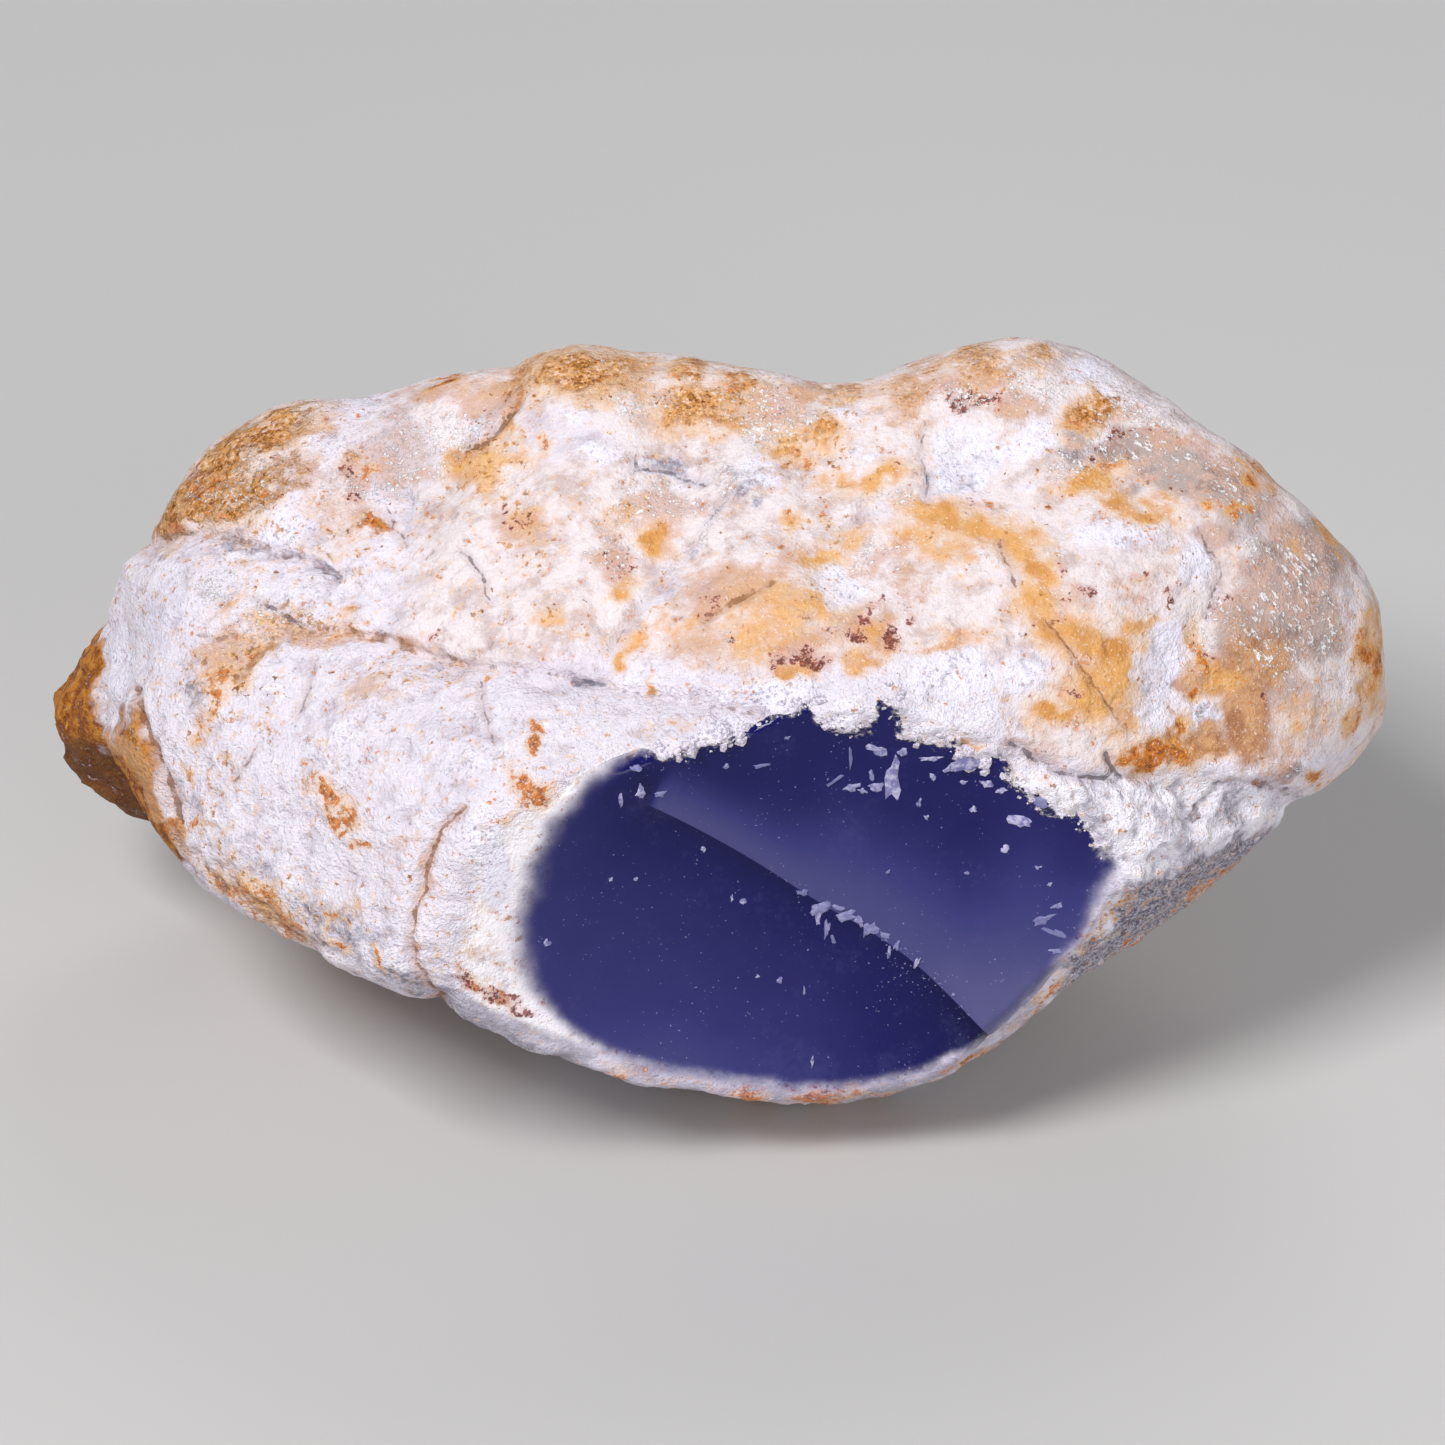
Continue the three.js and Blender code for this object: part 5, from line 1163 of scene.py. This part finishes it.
def chalcedony():
    """Pale crust with stains, cracks and specks, and the dark glassy core that the window shows."""
    material, base, place = new_material("chalcedony")
    turned = base.node("Mapping", None, {"Vector": place, "Location": OTHER_PLACE})
    mark = {name: attribute(base, name) for name in MARK_NAMES}
    broad = grain(base, place, 7.0, 2.0, 0.5)
    patch = grain(base, place, 2.6, 3.0, 0.6)
    other_patch = grain(base, turned, 4.0, 3.0, 0.55)
    mottle = grain(base, place, 0.9, 4.0, 0.65)
    other_mottle = grain(base, turned, 1.3, 4.0, 0.65)
    fine = grain(base, place, 0.32, 3.0, 0.6)
    other_fine = grain(base, turned, 0.42, 3.0, 0.6)
    dust = grain(base, place, 0.14, 1.0, 0.5)
    spots = grain(base, turned, 0.62, 4.0, 0.7)
    sugar = grain(base, turned, 0.24, 2.0, 0.7)
    elsewhere = 1 - mark["facing"]

    # Crust: opaque cool white with clearer lilac patches, pinker where it is like porcelain.
    warmth = between(mark["porcelain"] + elsewhere * 0.6 + (broad - 0.5) * 1.6, 0.3, 0.9)
    opaque = mix(warmth, COOL_WHITE, WARM_WHITE)
    clear = mix(warmth, CLEAR_LILAC, CLEAR_PINK)
    clearing = between(patch * 0.5 + other_mottle * 0.5, 0.46, 0.6)
    colour = mix(clearing * (0.5 + 0.4 * mark["porcelain"]), opaque, clear)
    cream = between(mark["cream"] * 0.8 + elsewhere * 0.6 + (patch - 0.5) * 1.4, 0.2, 1.0)
    colour = mix(cream * 0.7, colour, CREAM_CRUST)
    lilac = between(mark["lilac"] * 0.9 + (patch - 0.5) * 1.2, 0.2, 1.0)
    colour = mix(lilac * 0.6, colour, LILAC_CRUST)
    # Painted light: the milky rim left of the window is whitened where its slope turns from the lamps.
    rim_painted_light = between(mark["pale_rim"] + (mottle - 0.5) * 0.5, 0.1, 0.6)
    colour = mix(rim_painted_light, colour, RIM_PAINTED_LIGHT)
    white = between(mark["pure_white"] + (mottle - 0.5) * 0.8 + (fine - 0.5) * 0.4, 0.3, 0.6)
    colour = mix(white, colour, PURE_WHITE_CRUST)

    # Grain: painted shade in the hollows between the grains, painted highlights on top of them.
    hollows = between(mark["relief"] * -0.5 + (mottle - 0.5) * 1.6, 0.1, 0.8)
    hollows = hollows * (1 - rim_painted_light) * (0.6 - 0.2 * mark["porcelain"] - 0.25 * white)
    colour = shade(hollows, colour, HOLLOW_SHADE_TONE)
    pits = between(sugar + (other_patch - 0.5) * 0.5 - white * 0.05, 0.38, 0.28)
    pits = pits * (1 - 0.5 * mark["porcelain"])
    grain_gap_shade = between(sugar * 0.6 + fine * 0.4, 0.48, 0.4) * white
    colour = shade(pits * 0.5 + grain_gap_shade * 0.25, colour, SHADE_AND_CRUMB_GREY)
    crest_highlights = between(mark["relief"] * 0.4 + (sugar - 0.5) * 2.4, 0.2, 0.6)
    colour = mix(crest_highlights * (0.5 - 0.2 * mark["porcelain"]), colour, GRAIN_HIGHLIGHT)

    # Translucent brownish pink and grey, cloudy.
    glassy = between(mark["glassy"] + (mottle - 0.5) * 0.6, 0.15, 0.7)
    pink = mix(between(patch * 0.7 + mottle * 0.3, 0.42, 0.58), GLASSY_GREY, GLASSY_PINK)
    colour = mix(glassy * 0.95, colour, pink)
    dim = between(mottle + (other_patch - 0.5) * 0.8, 0.46, 0.34) * glassy
    colour = mix(dim * 0.6, colour, GLASSY_DIM)

    # The crumbly broken zone, with painted shade between its chunks, then grey grime and painted shade.
    chunks = between(mottle * 0.5 + patch * 0.5 + mark["relief"] * 0.1, 0.36, 0.5)
    colour = mix(mark["broken"] * 0.8, colour, mix(chunks, SHADE_AND_CRUMB_GREY, BROKEN_WHITE))
    grime_and_shade = between(mark["grey"] + (other_mottle - 0.5) * 1.6, 0.3, 1.0)
    grime_and_shade_colour = mix(between(fine * 0.5 + sugar * 0.5, 0.42, 0.6), GRIME_SHADE_DARK, GRIME_SHADE_PALE)
    colour = mix(grime_and_shade * 0.8, colour, grime_and_shade_colour)

    # The thin rim under the window is greyer, and the facet right of it is grey and granular:
    # both are darkened with painted shade, as they face down.
    rim_shade = between(mark["thin_rim"] + (mottle - 0.5) * 0.8, 0.2, 0.8)
    rim_shade_colour = mix(between(patch * 0.6 + mottle * 0.4, 0.42, 0.6), RIM_SHADE_GREY, LILAC_CRUST)
    colour = mix(rim_shade * 0.85, colour, rim_shade_colour)
    facet = mark["facet"] * between(mottle, 0.3, 0.42)
    facet_shade_colour = mix(between(fine * 0.25 + sugar * 0.35 + dust * 0.4, 0.42, 0.58), FACET_SHADE_DARK, FACET_SHADE_PALE)
    colour = mix(facet * 0.95, colour, facet_shade_colour)

    # Iron stains: a peach wash, translucent tan and amber, golden ochre, then crisp rust.
    hidden = elsewhere * between(other_patch, 0.48, 0.62)
    bare = (1 - glassy * 0.7) * (1 - white * 0.6)
    wash_field = mark["wash"] + hidden * 0.6 + (mottle - 0.5) * 0.9 + (patch - 0.5) * 0.5
    wash = between(wash_field, 0.15, 0.9) * bare
    colour = mix(wash * 0.7, colour, PEACH)
    tan = between(mark["tan"] + (mottle - 0.5) * 1.1 + (patch - 0.5) * 0.5, 0.05, 0.75)
    colour = mix(tan * 0.8, colour, mix(between(patch, 0.42, 0.58), TAN_PINK, TAN_BROWN))
    amber = between(mark["amber"] + (mottle - 0.5) * 0.6, 0.1, 0.8)
    colour = mix(amber * 0.9, colour, mix(between(other_mottle, 0.4, 0.6), AMBER_DEEP, AMBER_PALE))
    ochre_field = mark["ochre"] + hidden * 0.5 + (mottle - 0.5) * 1.0 + (spots - 0.5) * 0.5 - white * 0.35
    ochre = between(ochre_field + (fine - 0.5) * mark["gritty"],
                    0.26 - mark["porcelain"] * 0.2, 0.8 + mark["porcelain"] * 0.1)
    ochre_tone = between(other_mottle * 0.5 + patch * 0.5 - mark["gritty"] * 0.06,
                         0.42 - mark["porcelain"] * 0.06, 0.56 + mark["porcelain"] * 0.08)
    colour = mix(ochre * 0.9, colour, mix(ochre_tone, OCHRE_DEEP, OCHRE_PALE))
    gritty = ochre * (0.1 + 0.9 * mark["gritty"])
    grit = between(fine * 0.6 + sugar * 0.4 + (mottle - 0.5) * 0.5, 0.5, 0.42)
    colour = mix(grit * gritty * 0.8, colour, RUST_DEEP)
    flaky = between(other_mottle * 0.4 + fine * 0.4 + spots * 0.2, 0.505, 0.455) * gritty
    flaky_colour = mix(between(dust, 0.4, 0.6), GRIT_BROWN, OCHRE_DEEP)
    colour = mix(flaky * mark["gritty"] * 0.7, colour, flaky_colour)
    worn = between(other_mottle * 0.5 + fine * 0.5, 0.53, 0.585) * gritty
    colour = mix(worn * mark["gritty"] * 0.75, colour, CREAM_CRUST)
    rust_field = mark["deep_orange"] + hidden * between(mottle, 0.5, 0.62) * 0.6
    rust = between(rust_field + (other_mottle - 0.5) * 2.0 + (fine - 0.5) * 2.0, 0.35, 0.7)
    rust_colour = mix(between(fine * 0.6 + sugar * 0.4, 0.4, 0.56), RUST_DEEP, RUST_PALE)
    colour = mix(rust * 0.92, colour, rust_colour)

    # Flecks: orange brown, thick in the stains and thin elsewhere, crimson by the crimson marks.
    stained = mark["flecked"] * 0.1 + mark["wash"] * 0.02 + hidden * 0.06
    smudge = between(spots + (patch - 0.5) * 0.3 + stained, 0.56, 0.68) * bare
    colour = mix(smudge * 0.5, colour, PEACH)
    flecks = between(other_fine + (spots - 0.5) * 0.7 + (patch - 0.5) * 0.3 + stained, 0.69, 0.75)
    colour = mix(flecks * 0.75, colour, mix(between(fine, 0.36, 0.5), FLECK_DARK, FLECK_BRIGHT))
    pepper = between(other_fine + (other_patch - 0.5) * 0.4 + stained * 0.8, 0.745, 0.775)
    colour = mix(pepper * 0.85, colour, FLECK_DARK)
    blush = between(mark["crimson"] + (mottle - 0.5) * 0.8, 0.02, 0.8)
    colour = mix(blush * 0.45, colour, CRIMSON_BLUSH)
    crimson_field = mark["crimson"] * 0.6 + (other_fine - 0.5) * 1.7
    crimson_field = crimson_field + (sugar - 0.5) * 1.5 + (spots - 0.5) * 1.2
    crimson = between(crimson_field, 0.32, 0.6) * between(mark["crimson"], 0.04, 0.2)
    colour = mix(crimson * 0.9, colour, mix(between(dust, 0.4, 0.58), CRIMSON_DARK, CRIMSON_BRIGHT))

    # The knob is all iron stain, with painted shade low down.
    knob_colour = mix(between(mottle, 0.38, 0.62), RUST_DEEP, OCHRE_DEEP)
    knob_colour = mix(between(other_mottle * 0.6 + fine * 0.4, 0.56, 0.66), knob_colour, OCHRE_PALE)
    knob_painted_shade = between(mark["knob_shade"] + (mottle - 0.5) * 1.0, 0.05, 0.9)
    knob_colour = mix(knob_painted_shade * 0.85, knob_colour, KNOB_SHADE_BROWN)
    blade = between(mark["knob_blade"] + (fine - 0.5) * 1.0, 0.1, 0.8)
    knob_colour = mix(blade * 0.85, knob_colour, AMBER_PALE)
    colour = mix(mark["knob"] * between(mottle, 0.2, 0.4), colour, knob_colour)

    # Painted glints on the sparkling grains, and cracks over all of it.
    along = base.node("VectorMath", {"operation": "DOT_PRODUCT"},
                      {"Vector": place, "Vector_001": STREAK}, output=1)
    along = base.node("VectorMath", {"operation": "SCALE"}, {"Vector": STREAK, "Scale": along * -0.7})
    streaked = base.node("VectorMath", {"operation": "ADD"}, {"Vector": place, "Vector_001": along})
    streaks = grain(base, streaked, 0.25, 2.0, 0.7)
    grains = grain(base, place, 0.22, 2.0, 0.7)
    clusters = between(mark["sugary"] + (other_mottle - 0.5) * 2.0, 0.1, 0.9)
    streaks = streaks * 0.75 + grains * 0.25
    grains = mark["glassy"] * streaks + (1 - mark["glassy"]) * grains
    glints = between(grains + clusters * 0.05 + (spots - 0.5) * 0.25 + mark["glassy"] * 0.02, 0.575, 0.64)
    glints = glints * between(clusters, 0.0, 0.3)
    colour = mix(glints * (0.4 + 0.5 * between(dust, 0.4, 0.6)), colour, SPARKLE_WHITE)
    sparkle = between(dust + (fine - 0.5) * 0.5, 0.67, 0.72) * (1 - 0.8 * mark["knob"])
    colour = mix(sparkle * 0.4, colour, SPARKLE_WHITE)
    off_line = mark["crack_side"] + (fine - 0.5) * 0.25
    width = mark["crack_width"] * (0.4 + between(mottle, 0.36, 0.64))
    line = off_line * off_line - width * width
    crack = between(line, 0.004, -0.003) * between(mark["crack"] + (mottle - 0.5) * 4.0, 0.3, 1.2)
    # Along each crack a band: tan brown stain where the crack is rusty, painted grey shade where it is not.
    crack_stain_and_shade = between(off_line * off_line, 0.2, 0.0) * mark["crack"]
    colour = mix(crack_stain_and_shade * 0.4, colour, mix(mark["crack_rust"], SHADE_AND_CRUMB_GREY, TAN_BROWN))
    colour = mix(crack * 0.75, colour, mix(mark["crack_rust"], CRACK_GREY, CRACK_BROWN))

    # The window: milky edge, dark indigo core with painted sheen across each flake, dust on it.
    edge = mark["core_edge"] + (mottle - 0.5) * (0.5 + mark["crisp"] * 1.2)
    edge = edge + (fine - 0.5) * mark["crisp"] * 0.8
    core = base.node("Math", {"operation": "DIVIDE", "use_clamp": True}, {
        "Value": edge + mark["core_softness"] * 0.5, "Value_001": mark["core_softness"]})
    crust_left = 1 - between(core * between(mark["rim_gap"], -0.02, 0.06), 0, 1)
    core = 1 - crust_left * crust_left
    halo = mark["halo"] * (1 - core)
    colour = mix(halo * 0.3, colour, MILKY_LILAC)
    past_left_end = between(mark["left_end"] + (mottle - 0.5) * 0.8, -0.2, 1.0)
    upper = between(mark["flake_side"], -0.02, 0.02) * past_left_end
    # Each flake's painted sheen picks the core's shade from the ramp.
    depth = upper * mark["upper_glow"] + (1 - upper) * mark["lower_glow"] + (patch - 0.5) * 0.1
    core_colour = base.node("ValToRGB", {"stops": CORE_STOPS}, {"Fac": depth})
    colour = mix(core, colour, core_colour)
    motes = between(dust + (patch - 0.5) * 0.2 + mark["dusty"] * 0.08, 0.745, 0.79) * core
    colour = mix(motes * 0.5, colour, MILKY_LILAC)
    smears = between(other_patch + (fine - 0.5) * 0.4, 0.56, 0.8) * core
    colour = mix(smears * 0.12, colour, DUSTY_BLUE)

    dull = 0.66 - 0.28 * glassy - 0.14 * mark["porcelain"]
    roughness = dull * (1 - core) + core * CORE_ROUGHNESS
    height = mottle * (0.5 - 0.3 * mark["porcelain"]) + fine * 0.45 + sugar * 0.7
    height = height + dust * 0.25 + glints * 0.4
    height = height + mark["knob"] * (mottle * 0.8 + fine * 0.5) + gritty * mark["gritty"] * other_mottle
    height = height * (1 - core) * (1 - 0.4 * mark["porcelain"])
    height = height * (1 - mark["smooth"] * 0.3) * (1 - 0.6 * mark["pale_rim"])
    bump = base.node("Bump", None, {"Height": height, "Distance": CRUST_BUMP, "Strength": 1.0})
    surface = base.node("BsdfPrincipled", None, {
        "Base Color": colour, "Roughness": roughness, "Normal": bump,
        "IOR": STONE_IOR, "Specular IOR Level": CRUST_SPECULAR})
    base.node("OutputMaterial", None, {"Surface": surface})
    return material


def splinter_white():
    """Milky splinters, which let some of the dark glass through where they are faint."""
    material, base, place = new_material("splinter white")
    faint = attribute(base, "faint")
    mottle = grain(base, place, 0.35, 3.0, 0.6)
    colour = mix(between(mottle, 0.4, 0.62), SPLINTER_GREY, SPLINTER_WHITE)
    colour = mix(between(faint + (mottle - 0.5) * 1.2, 0.1, 0.9), colour, DUSTY_BLUE)
    bump = base.node("Bump", None, {"Height": mottle, "Distance": SPLINTER_BUMP})
    surface = base.node("BsdfPrincipled", None, {
        "Base Color": colour, "Roughness": 0.4 + mottle * 0.2, "Normal": bump, "IOR": STONE_IOR})
    base.node("OutputMaterial", None, {"Surface": surface})
    return material


def crumb_white():
    """Powdery crumbs, a few of them stained."""
    material, base, place = new_material("crumb white")
    mottle = grain(base, place, 0.8, 3.0, 0.6)
    fine = grain(base, place, 0.15, 2.0, 0.6)
    colour = mix(between(fine, 0.4, 0.6), SHADE_AND_CRUMB_GREY, COOL_WHITE)
    colour = mix(between(mottle, 0.6, 0.68) * 0.5, colour, PEACH)
    bump = base.node("Bump", None, {"Height": fine, "Distance": CRUMB_BUMP})
    surface = base.node("BsdfPrincipled", None, {
        "Base Color": colour, "Roughness": 0.6 + fine * 0.1, "Normal": bump,
        "IOR": STONE_IOR, "Specular IOR Level": CRUST_SPECULAR})
    base.node("OutputMaterial", None, {"Surface": surface})
    return material


def plain(name, colour, roughness):
    """An even surface for the floor."""
    material = bpy.data.materials.new(name)
    material.use_nodes = True
    shader = material.node_tree.nodes["Principled BSDF"]
    shader.inputs["Base Color"].default_value = colour
    shader.inputs["Roughness"].default_value = roughness
    return material


# ---------------------------------------------------------------------------
# The pieces
# ---------------------------------------------------------------------------


def add_stone():
    """The whole stone, in the place of the solid."""
    piece = bpy.data.objects.new("stone", stone_mesh("stone"))
    bpy.context.collection.objects.link(piece)
    piece.data.materials.append(chalcedony())
    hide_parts("nodule")
    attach(piece, "root")


def add_lumps(name, mesh, material):
    """A piece made of many small lumps that lie on the stone."""
    piece = bpy.data.objects.new(name, mesh)
    bpy.context.collection.objects.link(piece)
    piece.data.materials.append(material)
    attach(piece, "root")


add_stone()
add_lumps("splinters", splinter_mesh("splinters"), splinter_white())
add_lumps("crumbs", crumb_mesh("crumbs"), crumb_white())

# ---------------------------------------------------------------------------
# Floor, light and camera
# ---------------------------------------------------------------------------

FLOOR_HALF = 1.5
FLOOR_PALE, FLOOR_ROUGHNESS = (0.56, 0.55, 0.54, 1), 0.6
STUDIO_AIR, AIR_STRENGTH = (0.9, 0.92, 1.0, 1), 0.24


def add_floor():
    """A plain pale square under the stone."""
    mesh = bpy.data.meshes.new("floor")
    edge = FLOOR_HALF
    corners = [(-edge, -edge, 0), (edge, -edge, 0), (edge, edge, 0), (-edge, edge, 0)]
    mesh.from_pydata(corners, [], [(0, 1, 2, 3)])
    mesh.materials.append(plain("pale floor", FLOOR_PALE, FLOOR_ROUGHNESS))
    floor = bpy.data.objects.new("floor", mesh)
    bpy.context.collection.objects.link(floor)


def add_light(name, place, size, watts):
    """A square soft light at a place in metres, turned to the stone."""
    light = bpy.data.lights.new(name, "AREA")
    light.size = size
    light.energy = watts
    lamp = bpy.data.objects.new(name, light)
    bpy.context.collection.objects.link(lamp)
    lamp.location = place
    to_stone = lamp.location * -1
    to_stone.z += CENTRE[2] * MM
    lamp.rotation_euler = to_stone.to_track_quat("-Z", "Y").to_euler()


add_floor()
add_light("soft light above the front", (-0.24, -0.25, 0.49), 0.20, 2.94)
add_light("soft light low on the right", (0.32, -0.50, 0.22), 0.40, 1.4)
add_light("soft light behind", (0.15, 0.45, 0.40), 0.30, 0.7)

world = bpy.data.worlds.new("studio")
world.use_nodes = True
world.node_tree.nodes["Background"].inputs["Color"].default_value = STUDIO_AIR
world.node_tree.nodes["Background"].inputs["Strength"].default_value = AIR_STRENGTH
bpy.context.scene.world = world
bpy.context.scene.view_settings.view_transform = "Standard"

LENS, SENSOR = 196.8, 36.0  # focal length and sensor width, in millimetres
NEAREST_SEEN = 0.01


def add_camera():
    """A long lens that looks square on to the front plane from SIGHT away."""
    lens = bpy.data.cameras.new("camera")
    lens.lens, lens.sensor_width = LENS, SENSOR
    lens.clip_start = NEAREST_SEEN
    camera = bpy.data.objects.new("camera", lens)
    bpy.context.collection.objects.link(camera)
    camera.location = (FRONT_ORIGIN + SIGHT * OUT_OF_THE_FRONT) * MM
    camera.rotation_euler = (math.pi / 2 - FRONT_TILT, 0, 0)
    bpy.context.scene.camera = camera


add_camera()
